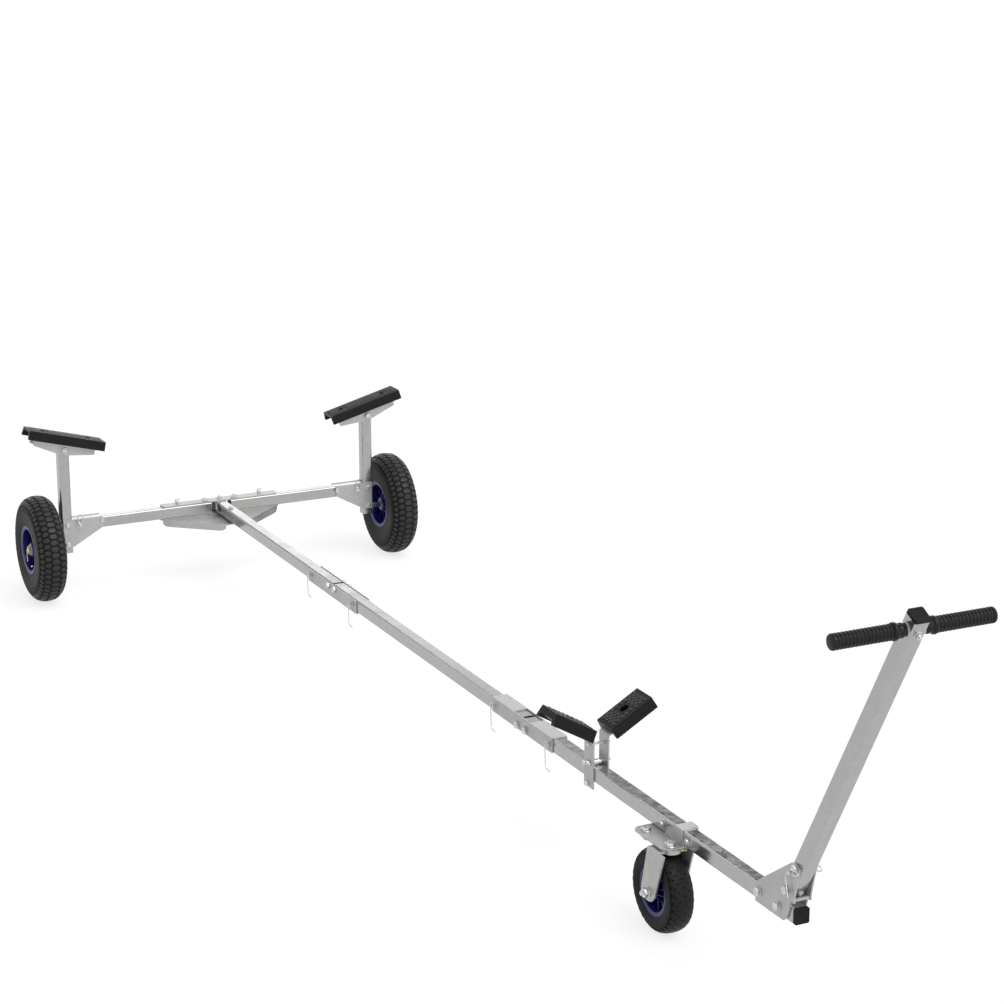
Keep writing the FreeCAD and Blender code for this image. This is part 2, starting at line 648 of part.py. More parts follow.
for side, sign in (("left", 1), ("right", -1)):
    makeAxleTube("axle_tube_" + side, sign)
    makeGusset("gusset_front_" + side, sign, True)
    makeGusset("gusset_back_" + side, sign, False)
    makePost("post_" + side, sign)
    makeStub("stub_axle_" + side, sign)
    wheelAt = ("axleX", "wheelY" if sign > 0 else "-wheelY", "wheelR", Vector(1, 0, 0), "90")
    place(makeTyre("tyre_" + side, "wheelR", "tyreMidR", "tyreHalf", "(rimR+fit)", "beadHalf"), *wheelAt)
    place(makeRim("rim_" + side, "rimR", "rimHalf", "rimBarrelR", "rimWeb", "hubR", "hubHalf",
                  "(stubR+runningFit)"), *wheelAt)
    makePadBracket("pad_bracket_" + side, sign)
    makePins("pad_pin_" + side, [("axleX", "postY" if sign > 0 else "-postY", "padPivotZ")],
             Vector(1, 0, 0), "postSide/2+bracketGap+plate+fit")
    makeRearPad("rear_pad_" + side, sign)
place(makeTyre("caster_tyre", "noseR", "noseMidR", "noseHalf", "(noseRimR+fit)", "noseBeadHalf"), *noseAt)
place(makeRim("caster_rim", "noseRimR", "noseRimHalf", "noseBarrelR", "noseWeb", "noseHubR", "noseHubHalf",
              "(noseAxleR+runningFit)"), *noseAt)


# ---- checks and files --------------------------------------------------------------------

doc.recompute()
for item in doc.Objects:
    if "Invalid" in item.State or "Error" in item.State:
        raise ValueError("%s did not build" % item.Label)
for piece in pieces:
    if piece.Shape.isNull() or not piece.Shape.isValid():
        raise ValueError("%s has no valid shape" % piece.Label)
os.makedirs("parts", exist_ok=True)
for piece in pieces:
    piece.Shape.exportStep("parts/%s.step" % piece.Label)
    box = piece.Shape.BoundBox
    print("%-20s solids %d  x %.1f..%.1f  y %.1f..%.1f  z %.1f..%.1f" % (
        piece.Label, len(piece.Shape.Solids), box.XMin, box.XMax, box.YMin, box.YMax, box.ZMin, box.ZMax))
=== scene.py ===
import bpy
import bmesh
import json
import math
from mathutils import Matrix, Vector, noise


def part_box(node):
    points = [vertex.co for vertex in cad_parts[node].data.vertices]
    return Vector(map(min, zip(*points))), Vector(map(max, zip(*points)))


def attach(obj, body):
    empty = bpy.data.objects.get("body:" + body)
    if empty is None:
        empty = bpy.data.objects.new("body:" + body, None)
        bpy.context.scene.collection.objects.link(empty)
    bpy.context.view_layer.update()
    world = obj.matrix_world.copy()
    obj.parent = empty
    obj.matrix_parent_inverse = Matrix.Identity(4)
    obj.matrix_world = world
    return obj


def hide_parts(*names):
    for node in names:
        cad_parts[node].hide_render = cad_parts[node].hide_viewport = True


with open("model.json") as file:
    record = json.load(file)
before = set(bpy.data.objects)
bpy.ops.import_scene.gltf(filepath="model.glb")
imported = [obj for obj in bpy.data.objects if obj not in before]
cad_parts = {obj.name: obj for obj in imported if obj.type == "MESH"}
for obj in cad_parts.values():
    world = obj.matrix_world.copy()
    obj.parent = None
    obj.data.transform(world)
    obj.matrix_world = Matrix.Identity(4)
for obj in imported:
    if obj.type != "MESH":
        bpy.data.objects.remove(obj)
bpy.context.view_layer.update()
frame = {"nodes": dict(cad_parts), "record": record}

nodes = frame["nodes"]
mm = 0.001

# places that every piece is laid out from, all taken from the frame
joints = {joint["name"]: joint for joint in frame["record"]["behaviour"]["joints"]}


def jointAt(name):
    return Vector(joints[name]["pos_m"])


def middleOf(node):
    low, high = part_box(node)
    return (Vector(low) + Vector(high)) / 2


beamAt = middleOf("beam_rear")
axleX = jointAt("wheel_spin_left").x
beamHigh = beamAt.z
tubeHalf = (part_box("beam_rear")[1][1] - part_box("beam_rear")[0][1]) / 2
foldOneX = middleOf("link_rear").x
foldTwoX = middleOf("link_front").x
bowX = middleOf("bow_upright_left").x
print("frame loaded")



def finishPiece(name, mesh, material, body, angle=35, bevel=0):
    # turns a bmesh into a piece that rides on its body
    data = bpy.data.meshes.new(name)
    bmesh.ops.recalc_face_normals(mesh, faces=mesh.faces)
    mesh.to_mesh(data)
    mesh.free()
    for face in data.polygons:
        face.use_smooth = True
    data.set_sharp_from_angle(angle=math.radians(angle))
    piece = bpy.data.objects.new(name, data)
    bpy.context.collection.objects.link(piece)
    data.materials.append(material)
    if bevel:
        soften = piece.modifiers.new("soften", "BEVEL")
        soften.width = bevel
        soften.segments = 2
        soften.limit_method = "ANGLE"
        soften.angle_limit = math.radians(40)
        soften.harden_normals = True
    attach(piece, body)
    return piece


def aimed(direction, at):
    # a matrix whose +Z looks along direction, standing at a point
    turn = Vector(direction).normalized().to_track_quat("Z", "Y").to_matrix().to_4x4()
    return Matrix.Translation(Vector(at)) @ turn


def addLathe(mesh, profile, where, steps=32, closed=False):
    # profile is a list of (radius, height); a radius of 0 closes the end
    rings = []
    for radius, height in profile:
        if radius <= 1e-7:
            rings.append([mesh.verts.new(where @ Vector((0, 0, height)))])
            continue
        ring = []
        for i in range(steps):
            turn = 2 * math.pi * i / steps
            ring.append(mesh.verts.new(where @ Vector((radius * math.cos(turn), radius * math.sin(turn), height))))
        rings.append(ring)
    pairs = list(zip(rings, rings[1:]))
    if closed:
        pairs.append((rings[-1], rings[0]))
    for lower, upper in pairs:
        for i in range(steps):
            k = (i + 1) % steps
            if len(lower) == 1 and len(upper) == 1:
                continue
            if len(lower) == 1:
                mesh.faces.new((lower[0], upper[k], upper[i]))
            elif len(upper) == 1:
                mesh.faces.new((lower[i], lower[k], upper[0]))
            else:
                mesh.faces.new((lower[i], lower[k], upper[k], upper[i]))


def addHex(mesh, where, flats, height):
    # a hexagon head or nut with its corners turned down
    radius = flats / math.sqrt(3)
    drop = height * 0.16
    rings = []
    for share, z in ((1, 0), (1, height - drop), (0.88, height), (0.0, height)):
        if share == 0:
            rings.append([mesh.verts.new(where @ Vector((0, 0, z)))])
            continue
        ring = []
        for i in range(12):
            turn = 2 * math.pi * i / 12
            reach = radius if i % 2 == 0 else radius * math.cos(math.pi / 6)
            if share < 1:
                reach = radius * 0.86
            ring.append(mesh.verts.new(where @ Vector((reach * math.cos(turn), reach * math.sin(turn), z))))
        rings.append(ring)
    for lower, upper in zip(rings, rings[1:]):
        for i in range(12):
            k = (i + 1) % 12
            if len(upper) == 1:
                mesh.faces.new((lower[i], lower[k], upper[0]))
            else:
                mesh.faces.new((lower[i], lower[k], upper[k], upper[i]))
    mesh.faces.new(list(reversed(rings[0])))


def addWasher(mesh, where, radius, thick):
    edge = thick * 0.25
    addLathe(mesh, [(0, 0), (radius - edge, 0), (radius, edge), (radius, thick - edge),
                    (radius - edge, thick), (0, thick)], where, 28)


def addThreadEnd(mesh, where, radius, length):
    # the end of a bolt, with its thread as rings
    profile = [(0, 0), (radius, 0)]
    pitch = radius * 0.28
    count = max(2, int(length / pitch) - 1)
    for i in range(count):
        z = length * i / count
        profile += [(radius, z + pitch * 0.25), (radius * 0.88, z + pitch * 0.6)]
    profile += [(radius * 0.8, length), (0, length)]
    addLathe(mesh, profile, where, 18)


def addBolt(mesh, at, direction, size=8, nut=False, washer=True, tail=5):
    # a hexagon head, or a nut with the bolt's end, sitting on a face; size in millimetres
    direction = Vector(direction).normalized()
    at = Vector(at)
    base = at.copy()
    if washer:
        addWasher(mesh, aimed(direction, base), size * 1.05 * mm, size * 0.18 * mm)
        base += direction * size * 0.18 * mm
    height = size * (0.8 if nut else 0.62) * mm
    addHex(mesh, aimed(direction, base), size * 1.62 * mm, height)
    if nut:
        addThreadEnd(mesh, aimed(direction, base + direction * height * 0.9), size * 0.48 * mm, tail * mm)


def smoothLine(points, steps=6, closed=False):
    # a soft line through the points
    count = len(points)
    out = []
    for i in range(count if closed else count - 1):
        if closed:
            p0, p1, p2, p3 = (points[(i + k - 1) % count] for k in range(4))
        else:
            p0, p1, p2, p3 = points[max(i - 1, 0)], points[i], points[i + 1], points[min(i + 2, count - 1)]
        for k in range(steps):
            t = k / steps
            out.append(0.5 * ((2 * p1) + (p2 - p0) * t + (2 * p0 - 5 * p1 + 4 * p2 - p3) * t * t
                              + (3 * p1 - p0 - 3 * p2 + p3) * t ** 3))
    if not closed:
        out.append(points[-1].copy())
    return out


def addWire(mesh, points, radius, sides=8, closed=False):
    # a round wire along a line of points
    count = len(points)
    rings = []
    side = None
    for i, point in enumerate(points):
        ahead = points[(i + 1) % count] if closed or i < count - 1 else point
        behind = points[i - 1] if closed or i > 0 else point
        along = (ahead - behind).normalized()
        if side is None:
            side = along.orthogonal().normalized()
        side = (side - along * side.dot(along)).normalized()
        other = along.cross(side)
        rings.append([mesh.verts.new(point + (side * math.cos(2 * math.pi * k / sides)
                                              + other * math.sin(2 * math.pi * k / sides)) * radius)
                      for k in range(sides)])
    pairs = list(zip(rings, rings[1:]))
    if closed:
        pairs.append((rings[-1], rings[0]))
    for lower, upper in pairs:
        for k in range(sides):
            n = (k + 1) % sides
            mesh.faces.new((lower[k], lower[n], upper[n], upper[k]))
    if not closed:
        mesh.faces.new(list(reversed(rings[0])))
        mesh.faces.new(rings[-1])


def addBlock(mesh, low, high, where=None):
    where = where or Matrix.Identity(4)
    corners = [mesh.verts.new(where @ Vector((x, y, z)))
               for x in (low[0], high[0]) for y in (low[1], high[1]) for z in (low[2], high[2])]
    for a, b, c, d in ((0, 1, 3, 2), (4, 6, 7, 5), (0, 4, 5, 1), (2, 3, 7, 6), (0, 2, 6, 4), (1, 5, 7, 3)):
        mesh.faces.new((corners[a], corners[b], corners[c], corners[d]))


def addPlate(mesh, outline, thick, where):
    # a flat plate from an outline in its own XY, thick along +Z
    low = [mesh.verts.new(where @ Vector((x, y, 0))) for x, y in outline]
    high = [mesh.verts.new(where @ Vector((x, y, thick))) for x, y in outline]
    mesh.faces.new(list(reversed(low)))
    mesh.faces.new(high)
    for i in range(len(outline)):
        k = (i + 1) % len(outline)
        mesh.faces.new((low[i], low[k], high[k], high[i]))



class Finish:
    # a short way to write a node material
    def __init__(self, name):
        self.material = bpy.data.materials.new(name)
        self.material.use_nodes = True
        self.tree = self.material.node_tree
        self.shader = self.tree.nodes["Principled BSDF"]
        self.coords = self.add("ShaderNodeTexCoord").outputs["Object"]

    def add(self, kind, **inputs):
        node = self.tree.nodes.new(kind)
        for key, amount in inputs.items():
            self.put(node, key.replace("_", " "), amount)
        return node

    def put(self, node, key, amount):
        socket = node.inputs[key]
        if isinstance(amount, bpy.types.NodeSocket):
            self.tree.links.new(amount, socket)
        else:
            socket.default_value = amount

    def noise(self, scale, detail=3.0, rough=0.5, stretch=None):
        node = self.add("ShaderNodeTexNoise", Scale=scale, Detail=detail, Roughness=rough)
        self.tree.links.new(self.placed(stretch), node.inputs["Vector"])
        return node.outputs["Fac"]

    def placed(self, stretch):
        if stretch is None:
            return self.coords
        mapping = self.add("ShaderNodeMapping", Scale=stretch)
        self.tree.links.new(self.coords, mapping.inputs["Vector"])
        return mapping.outputs["Vector"]

    def cells(self, scale, feature="F1", stretch=None):
        node = self.add("ShaderNodeTexVoronoi", Scale=scale)
        node.feature = feature
        self.tree.links.new(self.placed(stretch), node.inputs["Vector"])
        return node

    def ramp(self, source, stops):
        node = self.add("ShaderNodeValToRGB", Fac=source)
        line = node.color_ramp
        while len(line.elements) < len(stops):
            line.elements.new(0.5)
        for element, (place, tone) in zip(line.elements, stops):
            element.position = place
            element.color = tone if len(tone) == 4 else (*tone, 1)
        return node.outputs["Color"]

    def between(self, source, low, high, start=0.0, end=1.0):
        node = self.add("ShaderNodeMapRange", Value=source)
        for key, amount in zip(("From Min", "From Max", "To Min", "To Max"), (start, end, low, high)):
            node.inputs[key].default_value = amount
        return node.outputs["Result"]

    def blend(self, share, first, second, way="MIX"):
        node = self.add("ShaderNodeMix")
        node.data_type = "RGBA"
        node.blend_type = way
        self.put(node, "Factor", share)
        for index, tone in ((6, first), (7, second)):
            socket = node.inputs[index]
            if isinstance(tone, bpy.types.NodeSocket):
                self.tree.links.new(tone, socket)
            else:
                socket.default_value = (*tone, 1)
        return node.outputs[2]

    def bump(self, height, strength, distance):
        node = self.add("ShaderNodeBump", Height=height, Strength=strength, Distance=distance)
        return node

    def edges(self, radius=0.002):
        # a mask that is high along sharp edges
        bevel = self.add("ShaderNodeBevel", Radius=radius)
        shape = self.add("ShaderNodeNewGeometry")
        dot = self.add("ShaderNodeVectorMath")
        dot.operation = "DOT_PRODUCT"
        self.tree.links.new(bevel.outputs["Normal"], dot.inputs[0])
        self.tree.links.new(shape.outputs["Normal"], dot.inputs[1])
        return self.between(dot.outputs["Value"], 1.0, 0.0, 0.75, 1.0)

    def shade(self, **inputs):
        for key, amount in inputs.items():
            self.put(self.shader, key.replace("_", " "), amount)


def galvanised(name, look):
    # zinc in soft crystals, with duller clouds and paler scuff streaks
    f = Finish(name)
    crystals = f.cells(look["crystal"]).outputs["Color"]
    grey = f.between(crystals, 0.0, 1.0)
    clouds = f.noise(look["cloud"], 4.0, 0.6)
    tone = f.ramp(grey, [(0.0, look["dark"]), (1.0, look["light"])])
    tone = f.blend(f.between(clouds, 0.0, 0.7, 0.38, 0.72), tone, look["dull"])
    scuffs = f.noise(60.0, 5.0, 0.7, (0.25, 3.0, 3.0))
    tone = f.blend(f.between(scuffs, 0.0, 0.3, 0.62, 0.75), tone, look["scuff"])
    f.shade(Base_Color=tone, Metallic=look["metal"], Specular_IOR_Level=0.5)
    shine = f.between(grey, look["rough"] - 0.04, look["rough"] + 0.05)
    total = f.add("ShaderNodeMath")
    f.put(total, 0, shine)
    f.put(total, 1, f.between(clouds, -0.03, 0.08, 0.3, 0.7))
    f.shade(Roughness=total.outputs[0])
    grain = f.bump(f.noise(320.0, 3.0, 0.5), 0.05, 0.0002)
    wave = f.bump(clouds, look["relief"], 0.0006)
    f.tree.links.new(grain.outputs["Normal"], wave.inputs["Normal"])
    f.shade(Normal=wave.outputs["Normal"])
    return f.material


tubeLook = {"crystal": 70.0, "cloud": 9.0, "dark": (0.43, 0.435, 0.425), "light": (0.49, 0.495, 0.485),
            "dull": (0.455, 0.46, 0.45), "scuff": (0.56, 0.565, 0.56), "metal": 0.92, "rough": 0.13, "relief": 0.05}
sheetLook = {"crystal": 80.0, "cloud": 14.0, "dark": (0.44, 0.445, 0.435), "light": (0.54, 0.545, 0.535),
             "dull": (0.49, 0.495, 0.485), "scuff": (0.60, 0.605, 0.60), "metal": 0.70, "rough": 0.34, "relief": 0.04}


def plated():
    # bright zinc on bolts, nuts and wires
    f = Finish("zincPlated")
    patches = f.noise(180.0, 3.0)
    tone = f.ramp(patches, [(0.3, (0.55, 0.56, 0.56)), (0.7, (0.78, 0.79, 0.79))])
    f.shade(Base_Color=tone, Metallic=0.95, Roughness=f.between(patches, 0.16, 0.32, 0.3, 0.7))
    f.shade(Normal=f.bump(f.noise(900.0, 2.0), 0.12, 0.0002).outputs["Normal"])
    return f.material


def yellowZinc():
    f = Finish("yellowZinc")
    patches = f.noise(140.0, 3.0)
    tone = f.ramp(patches, [(0.3, (0.55, 0.42, 0.20)), (0.7, (0.80, 0.70, 0.46))])
    f.shade(Base_Color=tone, Metallic=0.95, Roughness=f.between(patches, 0.18, 0.34, 0.3, 0.7))
    return f.material


def rubberFinish(name, look):
    # moulded rubber: fine pores, a faint bloom and some gloss; lighter colour on the pad diamond tops as a painted
    # highlight, and lighter colour along sharp edges, which on the pads is a painted highlight
    f = Finish(name)
    bloom = f.noise(look["bloom"], 4.0, 0.6)
    tone = f.blend(f.between(bloom, 0.0, 1.0, 0.35, 0.75), look["deep"], look["pale"])
    # painted highlight: the diamond tops marked on the pads get a lighter colour, broken up by noise
    if "tops" in look:
        wearAndHighlight = f.add("ShaderNodeAttribute")
        wearAndHighlight.attribute_name = "wearAndHighlight"
        dustAndHighlight = f.noise(look["dustAndHighlight"], 4.0, 0.7)
        tops = f.blend(f.between(dustAndHighlight, 0.0, 1.0, 0.3, 0.7), look["pale"], look["tops"])
        tone = f.blend(f.between(wearAndHighlight.outputs["Fac"], 0.0, 1.0, 0.5, 0.95), tone, tops)
    # lighter colour along sharp edges; on the pads this is a painted highlight along the edges
    wornAndHighlit = f.edges(look["edge"])
    tone = f.blend(f.between(wornAndHighlit, 0.0, look["wearAndHighlight"]), tone, look["wornAndHighlit"])
    f.shade(Base_Color=tone, Metallic=0.0, Roughness=f.between(bloom, look["rough"] - 0.08, look["rough"] + 0.1),
            Specular_IOR_Level=look["gloss"])
    f.shade(Normal=f.bump(f.noise(look["pore"], 3.0, 0.6), 0.25, 0.0003).outputs["Normal"])
    return f.material


# pads: the tops colour is a painted highlight on the diamond tops, and the edge colour is a painted highlight along
# sharp edges
padLook = {"bloom": 40.0, "dustAndHighlight": 260.0, "tops": (0.085, 0.085, 0.083), "deep": (0.0045, 0.0045, 0.0045), "pale": (0.009, 0.009, 0.009), "wornAndHighlit": (0.16, 0.16, 0.16),
           "edge": 0.0014, "wearAndHighlight": 0.9, "rough": 0.34, "gloss": 0.15, "pore": 1600.0}
gripLook = {"bloom": 60.0, "deep": (0.006, 0.006, 0.006), "pale": (0.012, 0.012, 0.012), "wornAndHighlit": (0.08, 0.08, 0.08),
            "edge": 0.0012, "wearAndHighlight": 0.6, "rough": 0.34, "gloss": 0.24, "pore": 1800.0}
capLook = {"bloom": 50.0, "deep": (0.010, 0.010, 0.010), "pale": (0.016, 0.016, 0.016), "wornAndHighlit": (0.04, 0.04, 0.04),
           "edge": 0.001, "wearAndHighlight": 0.5, "rough": 0.46, "gloss": 0.10, "pore": 1200.0}


def tyreFinish():
    # near black in the grooves and on the walls, greyer and a little shiny on the worn blocks
    f = Finish("tyreRubber")
    bloom = f.noise(30.0, 4.0, 0.6)
    dustAndHighlight = f.noise(220.0, 4.0, 0.7)
    wearAndHighlight = f.add("ShaderNodeAttribute")
    wearAndHighlight.attribute_name = "wearAndHighlight"
    wearAndHighlight = wearAndHighlight.outputs["Fac"]
    deep = f.blend(f.between(bloom, 0.0, 1.0, 0.35, 0.75), (0.0035, 0.0035, 0.0033), (0.0065, 0.0065, 0.0062))
    tops = f.blend(f.between(dustAndHighlight, 0.0, 1.0, 0.3, 0.7), (0.018, 0.018, 0.017), (0.046, 0.046, 0.044))
    f.shade(Base_Color=f.blend(f.between(wearAndHighlight, 0.0, 1.0, 0.35, 0.95), deep, tops), Metallic=0.0,
            Roughness=f.between(wearAndHighlight, 0.60, 0.36), Specular_IOR_Level=0.20)
    f.shade(Normal=f.bump(f.noise(1500.0, 3.0, 0.6), 0.2, 0.0003).outputs["Normal"])
    return f.material


def rimFinish():
    # deep blue moulded plastic, paler along its sharp edges
    f = Finish("rimBlue")
    cloud = f.noise(35.0, 4.0, 0.6)
    tone = f.blend(f.between(cloud, 0.0, 1.0, 0.35, 0.7), (0.006, 0.004, 0.085), (0.010, 0.008, 0.14))
    wornAndHighlit = f.edges(0.0016)
    tone = f.blend(f.between(wornAndHighlit, 0.0, 0.55), tone, (0.10, 0.09, 0.36))
    f.shade(Base_Color=tone, Metallic=0.0, Roughness=f.between(cloud, 0.26, 0.42), Specular_IOR_Level=0.5)
    f.shade(Normal=f.bump(f.noise(700.0, 3.0), 0.12, 0.0003).outputs["Normal"])
    return f.material


tubeSteel = galvanised("galvanisedTube", tubeLook)
sheetSteel = galvanised("galvanisedSheet", sheetLook)
boltSteel = plated()
brassy = yellowZinc()
tyreRubber = tyreFinish()
padRubber = rubberFinish("padRubber", padLook)
gripRubber = rubberFinish("gripRubber", gripLook)
capPlastic = rubberFinish("capPlastic", capLook)
rimBlue = rimFinish()
slotFinish = {"galvanised_tube": tubeSteel, "galvanised_sheet": sheetSteel, "bolt_steel": boltSteel,
              "tyre_rubber": tyreRubber, "rim_plastic": rimBlue, "pad_rubber": padRubber,
              "grip_rubber": gripRubber, "cap_plastic": capPlastic}
for entry in frame["record"]["subparts"]:
    node = nodes[entry["node"]]
    node.data.materials.clear()
    node.data.materials.append(slotFinish[entry["material_slot"]])
    for face in node.data.polygons:
        face.use_smooth = True
        face.material_index = 0
    node.data.set_sharp_from_angle(angle=math.radians(38))
    if entry["material_slot"] in ("galvanised_sheet",):
        soften = node.modifiers.new("soften", "BEVEL")
        soften.width = 0.8 * mm
        soften.segments = 2
        soften.limit_method = "ANGLE"
        soften.angle_limit = math.radians(50)
        soften.harden_normals = True
print("finishes made")



rearTyre = {"blocks": 52, "steps": 13, "across": 78, "rows": 5, "rowPitch": 0.80, "groove": 0.15, "soft": 0.12,
            "treadDeep": 2.6 * mm, "shoulder": 0.7, "wearMost": 1.0, "treadShare": 0.82, "rimR": 87.1 * mm, "beadHalf": 45 * mm, "midR": 137 * mm,
            "square": 0.80, "wallWear": 0.25}
noseTyre = {"blocks": 31, "steps": 18, "across": 60, "rows": 3, "rowPitch": 0.62, "groove": 0.10, "soft": 0.10,
            "treadDeep": 2.2 * mm, "shoulder": 0.9, "wearMost": 0.45, "treadShare": 0.80, "rimR": 66.3 * mm, "beadHalf": 30 * mm, "midR": 88 * mm,
            "square": 0.72, "wallWear": 0.25}


def cellHeight(turn, share, look):
    # 1 on a rounded six-sided block and 0 in the groove round it
    row = share * look["rows"] / 2
    lane = turn / (2 * math.pi) * look["blocks"]
    near, following = 9.0, 9.0
    for k in range(math.floor(row) - 1, math.floor(row) + 3):
        shift = 0.5 if k % 2 else 0.0
        v = (row - k) * look["rowPitch"]
        first = math.floor(lane - shift)
        for i in (first, first + 1):
            u = lane - shift - i
            far = math.hypot(u, v)
            if far < near:
                near, following = far, near
            elif far < following:
                following = far
    edge = (following - near - look["groove"]) / look["soft"]
    return min(1.0, max(0.0, edge))


def lugHeight(turn, share, look):
    # a nearly plain crown with short slits, and square lugs at both shoulders
    lane = turn / (2 * math.pi) * look["blocks"]
    reach = abs(share)
    if reach > 0.76:
        u = abs((lane + (0.25 if share > 0 else 0.75)) % 1.0 - 0.5) * 2
        lug = min(1.0, max(0.0, (0.74 - u) / 0.16))
        return lug if reach > 0.82 else max(lug, 1 - (reach - 0.76) / 0.06)
    height = 1.0
    for middle, lean in ((-0.56, 0.0), (-0.30, 0.5), (0.0, 0.0), (0.30, 0.5), (0.56, 0.0)):
        u = abs((lane + lean + (share - middle) * 0.5) % 1.0 - 0.5)
        v = abs(share - middle)
        slit = max(0.0, 1 - (0.5 - u) / 0.09)
        height = min(height, 1 - min(1.0, slit) * min(1.0, max(0.0, (0.09 - v) / 0.03)))
    return height


def tyreShape(out, half, look, height):
    # the section from one bead over the crown to the other, turned round the wheel, with the wear of each point
    turns = look["blocks"] * look["steps"]
    across = look["across"]
    crown = out - look["midR"]
    rings = []
    for i in range(turns):
        turn = 2 * math.pi * i / turns
        ring = []
        for k in range(across + 1):
            lean = math.pi * (k / across - 0.5)
            y = half * math.copysign(abs(math.sin(lean)) ** 0.86, lean)
            r = look["midR"] + crown * abs(math.cos(lean)) ** look["square"]
            share = lean / (math.pi * 0.5) / look["treadShare"]
            wearAndHighlight = 0.0
            if abs(share) < 1:
                wearAndHighlight = height(turn, share, look)
                low = look["treadDeep"] * (1 - wearAndHighlight) * (1 + look["shoulder"] * abs(share))
                wearAndHighlight *= look["wearMost"]
                r -= low * math.cos(lean * 0.7)
                y -= math.copysign(low * abs(math.sin(lean * 0.7)), lean)
            elif abs(share) < 1.05:
                low = look["treadDeep"] * 0.9
                r -= low * 0.4
                y -= math.copysign(low, lean)
            ring.append((Vector((r * math.cos(turn), y, r * math.sin(turn))), wearAndHighlight))
        wall = []
        for share in (0.10, 0.22, 0.26, 0.45, 0.62, 0.66, 0.82, 0.93, 1.0):
            r = look["midR"] + (look["rimR"] - look["midR"]) * share
            bulge = half + (look["beadHalf"] - half) * share ** 1.8
            bulge -= 0.7 * mm if share in (0.26, 0.66) else 0  # two fine rings on the sidewall
            wall.append((r, bulge))
        left = [(Vector((r * math.cos(turn), y, r * math.sin(turn))), look["wallWear"]) for r, y in wall]
        right = [(Vector((v.x, -v.y, v.z)), wearAndHighlight) for v, wearAndHighlight in reversed(left)]
        rings.append(right + ring + left)
    return rings


def buildTyre(name, body, centre, rings, replaced):
    mesh = bmesh.new()
    grid = [[mesh.verts.new(centre + place) for place, wearAndHighlight in ring] for ring in rings]
    for a, b in zip(grid, grid[1:] + grid[:1]):
        for k in range(len(a) - 1):
            mesh.faces.new((a[k], a[k + 1], b[k + 1], b[k]))
        mesh.faces.new((a[-1], a[0], b[0], b[-1]))
    piece = finishPiece(name, mesh, tyreRubber, body, angle=34)
    wornAndHighlit = piece.data.attributes.new("wearAndHighlight", "FLOAT", "POINT")
    wornAndHighlit.data.foreach_set("value", [wearAndHighlight for ring in rings for place, wearAndHighlight in ring])
    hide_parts(replaced)
    return piece


rearRim = {"flangeR": 86.8 * mm, "barrelR": 77 * mm, "half": 46.5 * mm, "hubR": 24 * mm, "hubHalf": 35.6 * mm,
           "ribs": 10, "ribThick": 3.6 * mm, "webHalf": 4 * mm, "bore": 10.05 * mm}
noseRim = {"flangeR": 65.8 * mm, "barrelR": 58 * mm, "half": 30.8 * mm, "hubR": 17 * mm, "hubHalf": 36 * mm,
           "ribs": 10, "ribThick": 3.0 * mm, "webHalf": 3 * mm, "bore": 6.05 * mm}


def buildRim(name, body, centre, look, replaced):
    mesh = bmesh.new()
    where = aimed((0, 1, 0), centre)
    lip = 2.2 * mm
    f, b, h = look["flangeR"], look["barrelR"], look["half"]
    inner = b - 4 * mm
    shell = [(inner, -h + 7 * mm), (inner + 1 * mm, -h + 2 * mm), (b, -h + lip * 0.4), (f - lip, -h),
             (f - lip * 0.3, -h + lip * 0.2), (f, -h + lip), (f - lip, -h + lip * 2.2), (b, -h + lip * 4),
             (b, h - lip * 4), (f - lip, h - lip * 2.2), (f, h - lip), (f - lip * 0.3, h - lip * 0.2), (f - lip, h),
             (b, h - lip * 0.4), (inner + 1 * mm, h - 2 * mm), (inner, h - 7 * mm)]
    addLathe(mesh, shell, where, 96, closed=True)
    w = look["webHalf"]
    web = [(look["hubR"] - 1 * mm, -w), (inner + 0.5 * mm, -w), (inner + 0.5 * mm, w), (look["hubR"] - 1 * mm, w)]
    addLathe(mesh, web, where, 96, closed=True)
    hub = [(look["bore"], -look["hubHalf"]), (look["hubR"] - 2 * mm, -look["hubHalf"]),
           (look["hubR"], -look["hubHalf"] + 2 * mm), (look["hubR"] + 2 * mm, 0),
           (look["hubR"], look["hubHalf"] - 2 * mm), (look["hubR"] - 2 * mm, look["hubHalf"]),
           (look["bore"], look["hubHalf"])]
    addLathe(mesh, hub, where, 64, closed=True)
    for i in range(look["ribs"]):
        turn = Matrix.Rotation(2 * math.pi * (i + 0.35) / look["ribs"], 4, "Z")
        t = look["ribThick"] / 2
        for side in (1, -1):
            # ribs stand high at the hub and fall to the barrel
            outline = [(look["hubR"] - 1 * mm, 0), (inner + 0.8 * mm, 0), (inner + 0.8 * mm, side * h * 0.52),
                       (look["hubR"] * 1.7, side * h * 0.50), (look["hubR"] - 1 * mm, side * look["hubHalf"] * 0.86)]
            near = [mesh.verts.new(where @ turn @ Vector((r, -t, z))) for r, z in outline]
            far = [mesh.verts.new(where @ turn @ Vector((r, t, z))) for r, z in outline]
            mesh.faces.new(near)
            mesh.faces.new(list(reversed(far)))
            for k in range(len(outline)):
                n = (k + 1) % len(outline)
                mesh.faces.new((near[k], far[k], far[n], near[n]))
    piece = finishPiece(name, mesh, rimBlue, body, angle=30)
    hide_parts(replaced)
    return piece


def halfWide(node):
    low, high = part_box(node)
    return (high[1] - low[1]) / 2


